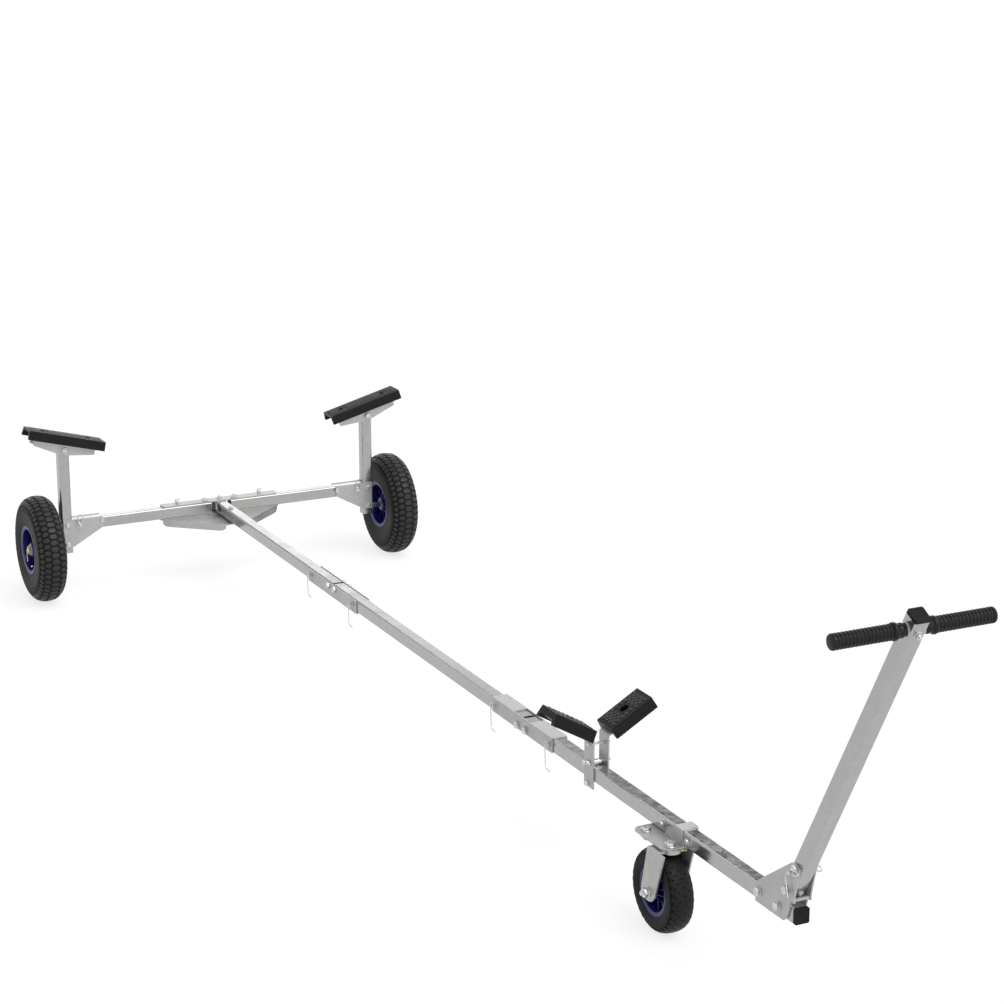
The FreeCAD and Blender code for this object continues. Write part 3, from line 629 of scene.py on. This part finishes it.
rearRings = tyreShape(jointAt("wheel_spin_left").z, halfWide("tyre_left"), rearTyre, cellHeight)
for side in ("left", "right"):
    hubAt = jointAt("wheel_spin_" + side)
    buildTyre("rearTyre_" + side, "wheel_" + side, hubAt, rearRings, "tyre_" + side)
    buildRim("rearRim_" + side, "wheel_" + side, hubAt, rearRim, "rim_" + side)
noseAt = jointAt("caster_spin")
buildTyre("noseTyre", "caster_wheel", noseAt, tyreShape(noseAt.z, halfWide("caster_tyre"), noseTyre, lugHeight),
          "caster_tyre")
buildRim("noseRim", "caster_wheel", noseAt, noseRim, "caster_rim")
print("wheels made")

# bow and rear pads
bowPad = {"long": 140 * mm, "top": 78 * mm, "foot": 92 * mm, "thick": 33 * mm, "wall": 8 * mm, "web": 20 * mm,
          "tilt": 30, "holes": (0,), "holeR": 13 * mm, "holeLow": 23 * mm, "ringOut": 19 * mm, "ringHigh": 1.4 * mm,
          "blockLong": 15.4 * mm, "blockWide": 17.6 * mm, "blockHigh": 2.0 * mm, "border": 3.5 * mm}
rearPad = {"long": 280 * mm, "top": 76 * mm, "foot": 90 * mm, "thick": 32 * mm, "wall": 9 * mm, "web": 9 * mm,
           "tilt": 15, "holes": (-84 * mm, 84 * mm), "holeR": 9 * mm, "holeLow": 10 * mm, "ringOut": 14 * mm, "ringHigh": 1.0 * mm,
           "blockLong": 12.7 * mm, "blockWide": 14.6 * mm, "blockHigh": 1.8 * mm, "border": 3 * mm}


def deckRings(look):
    # round each hole, pairs of points on the hole and on the edge of its share of the top
    wide, half = look["top"] / 2, look["long"] / 2
    count = len(look["holes"])
    rings = []
    for i, hole in enumerate(look["holes"]):
        near = -half + 2 * half * i / count
        far = -half + 2 * half * (i + 1) / count
        turns = [2 * math.pi * k / 32 for k in range(32)]
        turns += [math.atan2(y - hole, x) % (2 * math.pi) for x in (-wide, wide) for y in (near, far)]
        ring = []
        for turn in sorted(turns):
            x, y = math.cos(turn), math.sin(turn)
            reach = min(wide / max(abs(x), 1e-9), ((far - hole) if y > 0 else (hole - near)) / max(abs(y), 1e-9))
            ring.append(((look["holeR"] * x, hole + look["holeR"] * y), (reach * x, hole + reach * y)))
        rings.append(ring)
    return rings


def flared(look, place):
    # the same place on the wider lower end of its hole
    hole = min(look["holes"], key=lambda y: abs(y - place[1]))
    grow = look["holeLow"] / look["holeR"]
    return place[0] * grow, hole + (place[1] - hole) * grow


def buildPad(name, body, look, sign, replaced):
    mesh = bmesh.new()
    # a per-point layer that marks the diamond tops for the painted highlight colour
    wornAndHighlit = mesh.verts.layers.float.new("wearAndHighlight")
    tilt = math.radians(look["tilt"]) * sign
    lean = Vector((0, math.sin(tilt), -math.cos(tilt))) * look["thick"] / 2
    where = Matrix.Translation(middleOf(replaced) - lean) @ Matrix.Rotation(tilt, 4, "X")
    shrink = (look["top"] / 2 - look["wall"]) / (look["top"] / 2)
    half = look["long"] / 2

    def corner(x, y, z):
        return mesh.verts.new(where @ Vector((x, y, z)))

    for ring in deckRings(look):
        for (inA, outA), (inB, outB) in zip(ring, ring[1:] + ring[:1]):
            top = [corner(*inA, 0), corner(*inB, 0), corner(*outB, 0), corner(*outA, 0)]
            low = [corner(*flared(look, inA), -look["web"]), corner(*flared(look, inB), -look["web"]),
                   corner(outB[0] * shrink, outB[1], -look["web"]), corner(outA[0] * shrink, outA[1], -look["web"])]
            mesh.faces.new(top)
            mesh.faces.new(list(reversed(low)))
            mesh.faces.new((top[1], top[0], low[0], low[1]))
            if abs(outA[1] - outB[1]) < 1e-7 and abs(abs(outA[1]) - half) < 1e-6:
                mesh.faces.new((top[3], top[2], low[2], low[3]))  # the open end
            if abs(outA[0] - outB[0]) < 1e-7:
                # flank, foot and inner flank along one side
                side = math.copysign(1, outA[0])
                foot = [corner(side * look["foot"] / 2, y, -look["thick"]) for y in (outA[1], outB[1])]
                inner = [corner(side * (look["foot"] / 2 - look["wall"]), y, -look["thick"])
                         for y in (outA[1], outB[1])]
                mesh.faces.new((top[3], top[2], foot[1], foot[0]))
                mesh.faces.new((foot[0], foot[1], inner[1], inner[0]))
                mesh.faces.new((inner[0], inner[1], low[2], low[3]))
    for side in (-1, 1):
        for y in (-half, half):
            mesh.faces.new((corner(side * look["top"] / 2, y, 0), corner(side * look["foot"] / 2, y, -look["thick"]),
                            corner(side * (look["foot"] / 2 - look["wall"]), y, -look["thick"]),
                            corner(side * look["top"] / 2 * shrink, y, -look["web"])))
    bmesh.ops.remove_doubles(mesh, verts=mesh.verts, dist=1e-6)
    bmesh.ops.recalc_face_normals(mesh, faces=mesh.faces)
    for hole in look["holes"]:
        ring = [(look["holeR"], -0.5 * mm), (look["ringOut"], -0.5 * mm), (look["ringOut"] - 1 * mm, look["ringHigh"]),
                (look["holeR"] + 0.6 * mm, look["ringHigh"])]
        addLathe(mesh, ring, where @ Matrix.Translation((0, hole, 0)), 36, closed=True)
    addDiamonds(mesh, where, look, wornAndHighlit)
    piece = finishPiece(name, mesh, padRubber, body, angle=40, bevel=0.5 * mm)
    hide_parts(replaced)
    return piece


def addDiamonds(mesh, where, look, wornAndHighlit):
    # raised diamonds in staggered rows that keep clear of the holes
    p, q = look["blockLong"], look["blockWide"]
    wide, half = look["top"] / 2 - look["border"], look["long"] / 2 - look["border"]
    rows, lanes = int(wide / q * 2) + 2, int(half / p) + 2
    for k in range(-rows, rows + 1):
        for i in range(-lanes, lanes + 1):
            x, y = k * q / 2, i * p + (p / 2 if k % 2 else 0)
            a, b = 0.43 * q, 0.43 * p
            if abs(x) + a > wide or abs(y) + b > half:
                continue
            if any(math.hypot(x, y - hole) < look["ringOut"] + 0.30 * p for hole in look["holes"]):
                continue
            rings = []
            for share, z in ((1.0, -0.4 * mm), (1.0, look["blockHigh"] * 0.35), (0.80, look["blockHigh"])):
                rings.append([mesh.verts.new(where @ Vector((x + u * a * share, y + v * b * share, z)))
                              for u, v in ((1, 0), (0, 1), (-1, 0), (0, -1))])
            # the top ring of each diamond gets the painted highlight colour
            for vert in rings[-1]:
                vert[wornAndHighlit] = 1.0
            mesh.faces.new(list(reversed(rings[0])))
            mesh.faces.new(rings[-1])
            for lower, upper in zip(rings, rings[1:]):
                for n in range(4):
                    m = (n + 1) % 4
                    mesh.faces.new((lower[n], lower[m], upper[m], upper[n]))


for side, sign in (("left", 1), ("right", -1)):
    buildPad("bowPad_" + side, "front_beam", bowPad, sign, "bow_pad_" + side)
    buildPad("rearPad_" + side, "support_" + side, rearPad, sign, "rear_pad_" + side)
print("pads made")


# grips on the cross bar
grip = {"ribs": 15, "valley": 15.6 * mm, "crest": 18.4 * mm, "ribsFrom": 57 * mm, "ribsTo": 197 * mm,
        "collar": 20.4 * mm, "neck": 15.0 * mm, "bore": 12.8 * mm}
barAt = middleOf("t_bar")
handleAt = jointAt("handle_fold")
upHandle = (barAt - handleAt).normalized()
handleFront = Vector((upHandle.z, 0, -upHandle.x))


def buildGrip(name, sign, replaced):
    mesh = bmesh.new()
    low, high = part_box(replaced)
    end = high[1] if sign > 0 else -low[1]
    start = end - (high[1] - low[1])
    profile = [(grip["bore"], start), (grip["neck"] - 0.8 * mm, start), (grip["neck"], start + 0.8 * mm),
               (grip["neck"], start + 4 * mm), (grip["neck"] + 1.8 * mm, start + 6 * mm),
               (grip["neck"] + 1.8 * mm, start + 12 * mm), (grip["neck"] + 0.6 * mm, start + 15 * mm),
               (grip["neck"] + 0.6 * mm, start + 18 * mm), (grip["collar"] - 1.4 * mm, start + 21 * mm),
               (grip["collar"], start + 24 * mm), (grip["collar"], start + 28 * mm),
               (grip["collar"] - 1.2 * mm, start + 31 * mm)]
    pitch = (grip["ribsTo"] - grip["ribsFrom"]) / grip["ribs"]
    for i in range(grip["ribs"]):
        y = grip["ribsFrom"] + i * pitch
        for share, rise in ((0.0, 0.0), (0.14, 0.12), (0.30, 0.80), (0.42, 1.0), (0.62, 1.0), (0.76, 0.80),
                            (0.90, 0.12)):
            profile.append((grip["valley"] + (grip["crest"] - grip["valley"]) * rise, y + share * pitch))
    profile += [(grip["valley"], grip["ribsTo"]), (grip["crest"], end - 7 * mm), (grip["crest"], end - 3 * mm),
                (grip["crest"] - 1 * mm, end - 1 * mm), (grip["crest"] - 3 * mm, end), (0, end)]
    addLathe(mesh, profile, aimed((0, sign, 0), Vector((barAt.x, 0, barAt.z))), 40)
    piece = finishPiece(name, mesh, gripRubber, "handle", angle=50)
    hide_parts(replaced)


buildGrip("grip_left", 1, "grip_left")
buildGrip("grip_right", -1, "grip_right")
print("grips made")


# bolts, nuts, lock pins and wire clips; places are in millimetres, x from the rear axle
hinge = {"shankR": 6 * mm, "head": 6 * mm, "size": 12}


def spot(x, y, z):
    return Vector((axleX + x * mm, y * mm, z * mm))


def buildHinge(name, body, node, places, axis):
    # hinge bolts with a hexagon head on the low side and a nut on the high side
    mesh = bmesh.new()
    low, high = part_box(node)
    along = Vector([1.0 if i == axis else 0.0 for i in range(3)])
    near, far = low[axis] + hinge["head"], high[axis] - hinge["head"]
    for place in places:
        start, stop = place.copy(), place.copy()
        start[axis], stop[axis] = near, far
        profile = [(0, 0), (hinge["shankR"], 0), (hinge["shankR"], far - near), (0, far - near)]
        addLathe(mesh, profile, aimed(along, start), 24)
        addBolt(mesh, start, -along, hinge["size"], washer=False)
        addBolt(mesh, stop, along, hinge["size"], nut=True, tail=2, washer=False)
    piece = finishPiece(name, mesh, boltSteel, body, angle=30)
    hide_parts(node)


wingPivots = [jointAt("wing_fold_" + side) for side in ("left", "right")]
buildHinge("hingeBolts_wings", "rear_frame", "wing_pins", wingPivots, 2)
buildHinge("hingeBolts_rearLink", "rear_link", "link_rear_pins", [jointAt("rear_fold"), jointAt("middle_fold")], 1)
buildHinge("hingeBolts_frontLink", "front_link", "link_front_pins",
           [jointAt("front_link_fold"), jointAt("front_beam_fold")], 1)
buildHinge("hingeBolt_handle", "front_beam", "handle_pin", [handleAt], 1)
for side in ("left", "right"):
    pivot = jointAt("support_tilt_" + side)
    buildHinge("hingeBolt_pad_" + side, "wing_" + side, "pad_pin_" + side, [pivot], 0)


def addLockPin(mesh, at, direction, radius=4.5, out=13):
    # a plain pin with a turned-down end that stands out of a face
    r, tall = radius * mm, out * mm
    addLathe(mesh, [(0, -2 * mm), (r * 1.5, -2 * mm), (r * 1.5, 1.6 * mm), (r * 1.2, 2.2 * mm), (r, 2.2 * mm),
                    (r, tall - 1.4 * mm), (r - 1.2 * mm, tall), (0, tall)], aimed(direction, at), 24)


def addClip(mesh, at, across, down, legs, ringR=8, thick=1.6):
    # a spring clip: an eye round the pin, a long leg and its bent foot
    across, down = Vector(across), Vector(down)
    line = [at + across * math.cos(t) * ringR * mm - down * math.sin(t) * ringR * mm
            for t in (math.radians(a) for a in range(-70, 200, 30))]
    line += [at + across * u * mm + down * v * mm for u, v in legs]
    addWire(mesh, smoothLine(line, 5), thick * mm)


lockPins = {
    "rearLink": {"body": "rear_link", "places": [(930, 0, 261), (1275, 0, 261)], "node": "link_rear"},
    "frontLink": {"body": "front_link", "places": [(2310, 0, 261), (2646, 0, 261)], "node": "link_front"},
}
clipLegs = [(-6.0, 8), (-4.0, 22), (-2.5, 45), (-1.0, 62), (3, 68), (13, 69), (25, 70)]
for name, look in lockPins.items():
    mesh = bmesh.new()
    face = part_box(look["node"])[0][1] / mm
    for x, y, z in look["places"]:
        addLockPin(mesh, spot(x, face, z), (0, -1, 0))
        addLockPin(mesh, spot(x, -face, z), (0, 1, 0), out=6)
        addClip(mesh, spot(x, face - 9, z), (1, 0, 0), (0, 0, -1), clipLegs)
    finishPiece("lockPins_" + name, mesh, boltSteel, look["body"], angle=40)

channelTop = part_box("axle_channel")[1][2] / mm
mesh = bmesh.new()
addBolt(mesh, spot(-9, 2, channelTop), (0, 0, 1), 9, nut=True)
addBolt(mesh, spot(119, 0, beamHigh / mm + 20), (0, 0, 1), 9)
for y in (-157, 157):
    addLockPin(mesh, spot(-15, y, channelTop), (0, 0, 1), out=11)
    addClip(mesh, spot(-15, y, channelTop + 8), (0, 1, 0), (-1, 0, 0), [(-5, 8), (2, 16), (10, 22), (22, 24)])
    addWire(mesh, smoothLine([spot(-15, y - 5, channelTop + 5), spot(-15, y - 6, channelTop + 13),
                              spot(-15, y, channelTop + 18), spot(-15, y + 6, channelTop + 13),
                              spot(-15, y + 5, channelTop + 5)], 6), 1.25 * mm)
finishPiece("bolts_rearFrame", mesh, boltSteel, "rear_frame", angle=35)

gussetBolts = {"face": 24.3, "small": [(450, 267), (576, 264), (576, 194)], "clip": (532, 262)}
for side, sign in (("left", 1), ("right", -1)):
    mesh = bmesh.new()
    for y, z in gussetBolts["small"]:
        addBolt(mesh, spot(gussetBolts["face"], sign * y, z), (1, 0, 0), 8)
        addBolt(mesh, spot(-gussetBolts["face"], sign * y, z), (-1, 0, 0), 8, nut=True)
    y, z = gussetBolts["clip"]
    addLockPin(mesh, spot(gussetBolts["face"], sign * y, z), (1, 0, 0), radius=6.5, out=12)
    x = gussetBolts["face"] + 8
    addWire(mesh, smoothLine([spot(x, sign * y - 7, z - 2), spot(x, sign * y - 8, z + 20), spot(x, sign * y - 7, z + 34),
                              spot(x, sign * y, z + 41), spot(x, sign * y + 7, z + 34),
                              spot(x, sign * y + 8, z + 20), spot(x, sign * y + 7, z - 2)], 6), 1.5 * mm)
    finishPiece("bolts_wing_" + side, mesh, boltSteel, "wing_" + side, angle=35)

# hub ends: washer, castle nut and split pin on the axle, and a valve in the rim
hubEnd = {"washerR": 19, "washer": 2.2, "nut": 9.0, "flats": 30, "face": 704.8}
for side, sign in (("left", 1), ("right", -1)):
    mesh = bmesh.new()
    z = jointAt("wheel_spin_" + side).z / mm
    addWasher(mesh, aimed((0, sign, 0), spot(0, sign * hubEnd["face"], z)), hubEnd["washerR"] * mm,
              hubEnd["washer"] * mm)
    finishPiece("hubWasher_" + side, mesh, boltSteel, "wing_" + side)
    mesh = bmesh.new()
    base = hubEnd["face"] + hubEnd["washer"]
    addHex(mesh, aimed((0, sign, 0), spot(0, sign * base, z)), hubEnd["flats"] * mm, hubEnd["nut"] * mm * 0.62)
    for i in range(6):
        # the towers of the castle nut
        turn = Matrix.Rotation(math.radians(60 * i + 30), 4, "Z")
        where = aimed((0, sign, 0), spot(0, sign * (base + hubEnd["nut"] * 0.58), z)) @ turn
        addBlock(mesh, (8 * mm, -4.2 * mm, 0), (12.6 * mm, 4.2 * mm, hubEnd["nut"] * 0.42 * mm), where)
    addThreadEnd(mesh, aimed((0, sign, 0), spot(0, sign * (base + 2), z)), 7.6 * mm, (hubEnd["nut"] - 2.4) * mm)
    finishPiece("castleNut_" + side, mesh, brassy, "wing_" + side, angle=30, bevel=0.4 * mm)
    mesh = bmesh.new()
    y = sign * (base + hubEnd["nut"] - 1.6)
    addWire(mesh, smoothLine([spot(14, y, z + 1), spot(4, y, z), spot(-9, y, z), spot(-16, y, z - 4),
                              spot(-18, y, z - 16), spot(-17, y, z - 32), spot(-14, y, z - 46)], 6), 1.5 * mm)
    finishPiece("splitPin_" + side, mesh, boltSteel, "wing_" + side)
    mesh = bmesh.new()
    valve = aimed((-0.25, sign * 1.0, 0.35), spot(8, sign * 688, z - 66))
    addLathe(mesh, [(0, 0), (4 * mm, 0), (4 * mm, 10 * mm), (3.1 * mm, 11 * mm), (3.6 * mm, 12 * mm),
                    (3.6 * mm, 21 * mm), (2.6 * mm, 23 * mm), (0, 23 * mm)], valve, 20)
    finishPiece("valve_" + side, mesh, boltSteel, "wheel_" + side)

# bow support: plate bolts, a thin tie bolt above and a spaced bolt over the beam
bowBolts = {"face": 24.3, "plate": [(2861, 284, 9), (2870, 230, 8), (2886, 289, 5)], "tieHigh": 342, "spacerHigh": 290,
            "middle": 2878}
mesh = bmesh.new()
for x, z, size in bowBolts["plate"]:
    addBolt(mesh, spot(x, -bowBolts["face"], z), (0, -1, 0), size)
    addBolt(mesh, spot(x, bowBolts["face"], z), (0, 1, 0), size, nut=True)
for z, radius in ((bowBolts["tieHigh"], 2.6), (bowBolts["spacerHigh"], 7.5)):
    inside = bowBolts["face"] - 4
    profile = [(0, 0), (radius * mm, 0), (radius * mm, 2 * inside * mm), (0, 2 * inside * mm)]
    addLathe(mesh, profile, aimed((0, 1, 0), spot(bowBolts["middle"], -inside, z)), 28)
    addBolt(mesh, spot(bowBolts["middle"], -bowBolts["face"], z), (0, -1, 0), 6 if radius < 4 else 8)
    addBolt(mesh, spot(bowBolts["middle"], bowBolts["face"], z), (0, 1, 0), 6 if radius < 4 else 8, nut=True, tail=9)
addWire(mesh, smoothLine([spot(2890, -19, 338), spot(2896, -4, 346), spot(2896, 8, 347), spot(2888, 19, 340)], 8),
        1.2 * mm)
finishPiece("bolts_bow", mesh, boltSteel, "front_beam", angle=35)

# nose wheel: bolts on its plate and on the beam, hub nuts and the grease nipple
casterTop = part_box("caster_plate")[1][2] / mm
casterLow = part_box("caster_plate")[0][2] / mm
mesh = bmesh.new()
addBolt(mesh, spot(3352, -48, casterTop), (0, 0, 1), 15)
addBolt(mesh, spot(3240, -54, casterTop), (0, 0, 1), 14)
addBolt(mesh, spot(3240, -54, casterLow), (0, 0, -1), 14, nut=True, tail=8)
for x in (3262, 3388):
    addBolt(mesh, spot(x, -20, 262), (0, -1, 0), 8)
    addBolt(mesh, spot(x, 20, 262), (0, 1, 0), 8, nut=True)
finishPiece("bolts_nosePlate", mesh, boltSteel, "front_beam", angle=35)
mesh = bmesh.new()
forkLow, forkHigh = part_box("caster_fork")
for face, direction in ((forkLow[1], -1), (forkHigh[1], 1)):
    at = Vector((noseAt.x, face, noseAt.z))
    addBolt(mesh, at, (0, direction, 0), 14, nut=True, tail=8)
finishPiece("bolts_noseFork", mesh, boltSteel, "caster", angle=35)
mesh = bmesh.new()
swivelAt = jointAt("caster_swivel")
toward = Vector((21.0, 31.5, 0)).normalized()
addLathe(mesh, [(0, 0), (4.5 * mm, 0), (4.5 * mm, 5 * mm), (3 * mm, 6 * mm), (2.2 * mm, 8 * mm), (3.4 * mm, 10 * mm),
                (3.4 * mm, 12 * mm), (1.6 * mm, 14 * mm), (0, 14 * mm)],
         aimed(toward, Vector((swivelAt.x, swivelAt.y, swivelAt.z + 2 * mm)) + toward * 26 * mm), 20)
finishPiece("greaseNipple", mesh, brassy, "caster")

# handle bracket: bolts, two lock pins and their clips
bracket = {"face": 24.3, "bolts": [(3726, 267, 11.5), (3809, 265, 11.5), (3878, 387, 9)], "lock": (3866, 374)}
mesh = bmesh.new()
for x, z, size in bracket["bolts"]:
    addBolt(mesh, spot(x, -bracket["face"], z), (0, -1, 0), size)
    addBolt(mesh, spot(x, bracket["face"], z), (0, 1, 0), size, nut=True)
x, z = bracket["lock"]
for sign in (-1, 1):
    addLockPin(mesh, spot(x, sign * bracket["face"], z), (0, sign, 0), out=12)
    y = sign * (bracket["face"] + 8)
    addWire(mesh, smoothLine([spot(x + 5, y, z + 7), spot(x + 24, y, z + 12), spot(x + 35, y, z + 9),
                              spot(x + 33, y, z + 3), spot(x + 14, y, z - 3), spot(x - 6, y, z - 7),
                              spot(x - 15, y, z - 16), spot(x - 12, y, z - 33), spot(x - 3, y, z - 66)], 6), 1.5 * mm)
finishPiece("bolts_handleBracket", mesh, boltSteel, "front_beam", angle=35)

# cross bar: collars against the tube and the bolt that holds the bar
mesh = bmesh.new()
for sign in (-1, 1):
    addWasher(mesh, aimed((0, sign, 0), Vector((barAt.x, sign * (tubeHalf + 0.2 * mm), barAt.z))), 17 * mm, 2.4 * mm)
addBolt(mesh, Vector((barAt.x, 0, barAt.z)) + handleFront * tubeHalf, handleFront, 9, nut=True, tail=5)
addBolt(mesh, Vector((barAt.x, 0, barAt.z)) - handleFront * tubeHalf, -handleFront, 9)
finishPiece("bolts_bar", mesh, boltSteel, "handle", angle=35)
print("hardware made")

def buildStage():
    mesh = bmesh.new()
    addLathe(mesh, [(0, 0), (60, 0)], Matrix.Identity(4), 96)
    data = bpy.data.meshes.new("floor")
    mesh.to_mesh(data)
    mesh.free()
    floor = bpy.data.objects.new("floor", data)
    bpy.context.collection.objects.link(floor)
    material = bpy.data.materials.new("paleFloor")
    material.use_nodes = True
    tree = material.node_tree
    tree.nodes.clear()
    out = tree.nodes.new("ShaderNodeOutputMaterial")
    mix = tree.nodes.new("ShaderNodeMixShader")
    base = tree.nodes.new("ShaderNodeBsdfDiffuse")
    glow = tree.nodes.new("ShaderNodeEmission")
    glow.inputs["Color"].default_value = (1, 1, 1, 1)
    glow.inputs["Strength"].default_value = 1.0
    rays = tree.nodes.new("ShaderNodeLightPath")
    share = tree.nodes.new("ShaderNodeMath")
    share.operation = "MULTIPLY"
    share.inputs[1].default_value = stage["floorGlow"]
    shown = tree.nodes.new("ShaderNodeMix")
    shown.data_type = "RGBA"
    tree.links.new(rays.outputs["Is Camera Ray"], shown.inputs["Factor"])
    shown.inputs[6].default_value = (*stage["floorBounce"], 1)
    shown.inputs[7].default_value = (*stage["floorShown"], 1)
    tree.links.new(shown.outputs[2], base.inputs["Color"])
    seen = rays.outputs["Is Camera Ray"]
    for kind in ("Is Glossy Ray", "Is Transmission Ray"):
        either = tree.nodes.new("ShaderNodeMath")
        either.operation = "MAXIMUM"
        tree.links.new(seen, either.inputs[0])
        tree.links.new(rays.outputs[kind], either.inputs[1])
        seen = either.outputs[0]
    tree.links.new(seen, share.inputs[0])
    tree.links.new(share.outputs[0], mix.inputs[0])
    tree.links.new(base.outputs[0], mix.inputs[1])
    tree.links.new(glow.outputs[0], mix.inputs[2])
    tree.links.new(mix.outputs[0], out.inputs["Surface"])
    data.materials.append(material)


stage = {"floorGlow": 0.76, "floorShown": (1.0, 1.0, 1.0), "floorBounce": (0.42, 0.42, 0.42),
         "sunAt": (1.8, 0.5, 2.6), "sunPower": 1.5, "sunWide": 40, "roomPower": 1.75, "sideShare": 0.65,
         "room": [(0.0, 1.0), (0.305, 1.0), (0.345, 0.45), (0.372, 0.02), (0.45, 0.04), (0.50, 0.8), (0.62, 0.7), (1.0, 0.36)]}


def buildLights():
    lamp = bpy.data.lights.new("softSun", "SUN")
    lamp.energy = stage["sunPower"]
    lamp.angle = math.radians(stage["sunWide"])
    holder = bpy.data.objects.new("softSun", lamp)
    bpy.context.collection.objects.link(holder)
    holder.rotation_euler = Vector(stage["sunAt"]).to_track_quat("Z", "Y").to_euler()


def buildWorld():
    # white to the camera; for the metal, a bright band above the floor, a darker room and a pale ceiling
    world = bpy.data.worlds.new("studio")
    bpy.context.scene.world = world
    world.use_nodes = True
    tree = world.node_tree
    tree.nodes.clear()
    out = tree.nodes.new("ShaderNodeOutputWorld")
    coords = tree.nodes.new("ShaderNodeTexCoord")
    split = tree.nodes.new("ShaderNodeSeparateXYZ")
    tree.links.new(coords.outputs["Generated"], split.inputs[0])
    ramp = tree.nodes.new("ShaderNodeValToRGB")
    tree.links.new(split.outputs["Z"], ramp.inputs["Fac"])
    while len(ramp.color_ramp.elements) < len(stage["room"]):
        ramp.color_ramp.elements.new(0.5)
    for element, (place, tone) in zip(ramp.color_ramp.elements, stage["room"]):
        element.position = place
        element.color = (tone, tone, tone, 1)
    room = tree.nodes.new("ShaderNodeBackground")
    tree.links.new(ramp.outputs["Color"], room.inputs["Color"])
    # the band is brightest behind the left side
    side = tree.nodes.new("ShaderNodeMapRange")
    tree.links.new(split.outputs["Y"], side.inputs["Value"])
    for key, amount in (("From Min", -0.35), ("From Max", 0.0), ("To Min", stage["roomPower"] * stage["sideShare"]),
                        ("To Max", stage["roomPower"])):
        side.inputs[key].default_value = amount
    tree.links.new(side.outputs["Result"], room.inputs["Strength"])
    white = tree.nodes.new("ShaderNodeBackground")
    white.inputs["Color"].default_value = (1, 1, 1, 1)
    white.inputs["Strength"].default_value = 1.0
    rays = tree.nodes.new("ShaderNodeLightPath")
    mix = tree.nodes.new("ShaderNodeMixShader")
    tree.links.new(rays.outputs["Is Camera Ray"], mix.inputs[0])
    tree.links.new(room.outputs[0], mix.inputs[1])
    tree.links.new(white.outputs[0], mix.inputs[2])
    tree.links.new(mix.outputs[0], out.inputs["Surface"])


# the camera stands in front and to the right of the trolley; its distances are from the axle
cameraLook = {"at": (8.3846, -2.9979, 2.7693), "yaw": 2.683, "pitch": 0.275, "lens": 90.909}


def buildCamera():
    camera = bpy.data.cameras.new("camera")
    camera.lens = cameraLook["lens"]
    camera.sensor_width = 36
    camera.clip_end = 200
    holder = bpy.data.objects.new("camera", camera)
    bpy.context.collection.objects.link(holder)
    x, y, z = cameraLook["at"]
    holder.location = (x + axleX, y, z)
    yaw, pitch = cameraLook["yaw"], cameraLook["pitch"]
    look = Vector((math.cos(yaw) * math.cos(pitch), math.sin(yaw) * math.cos(pitch), -math.sin(pitch)))
    holder.rotation_euler = look.to_track_quat("-Z", "Y").to_euler()
    bpy.context.scene.camera = holder


buildStage()
buildLights()
buildWorld()
buildCamera()
bpy.context.scene.view_settings.view_transform = "Standard"
print("stage made")
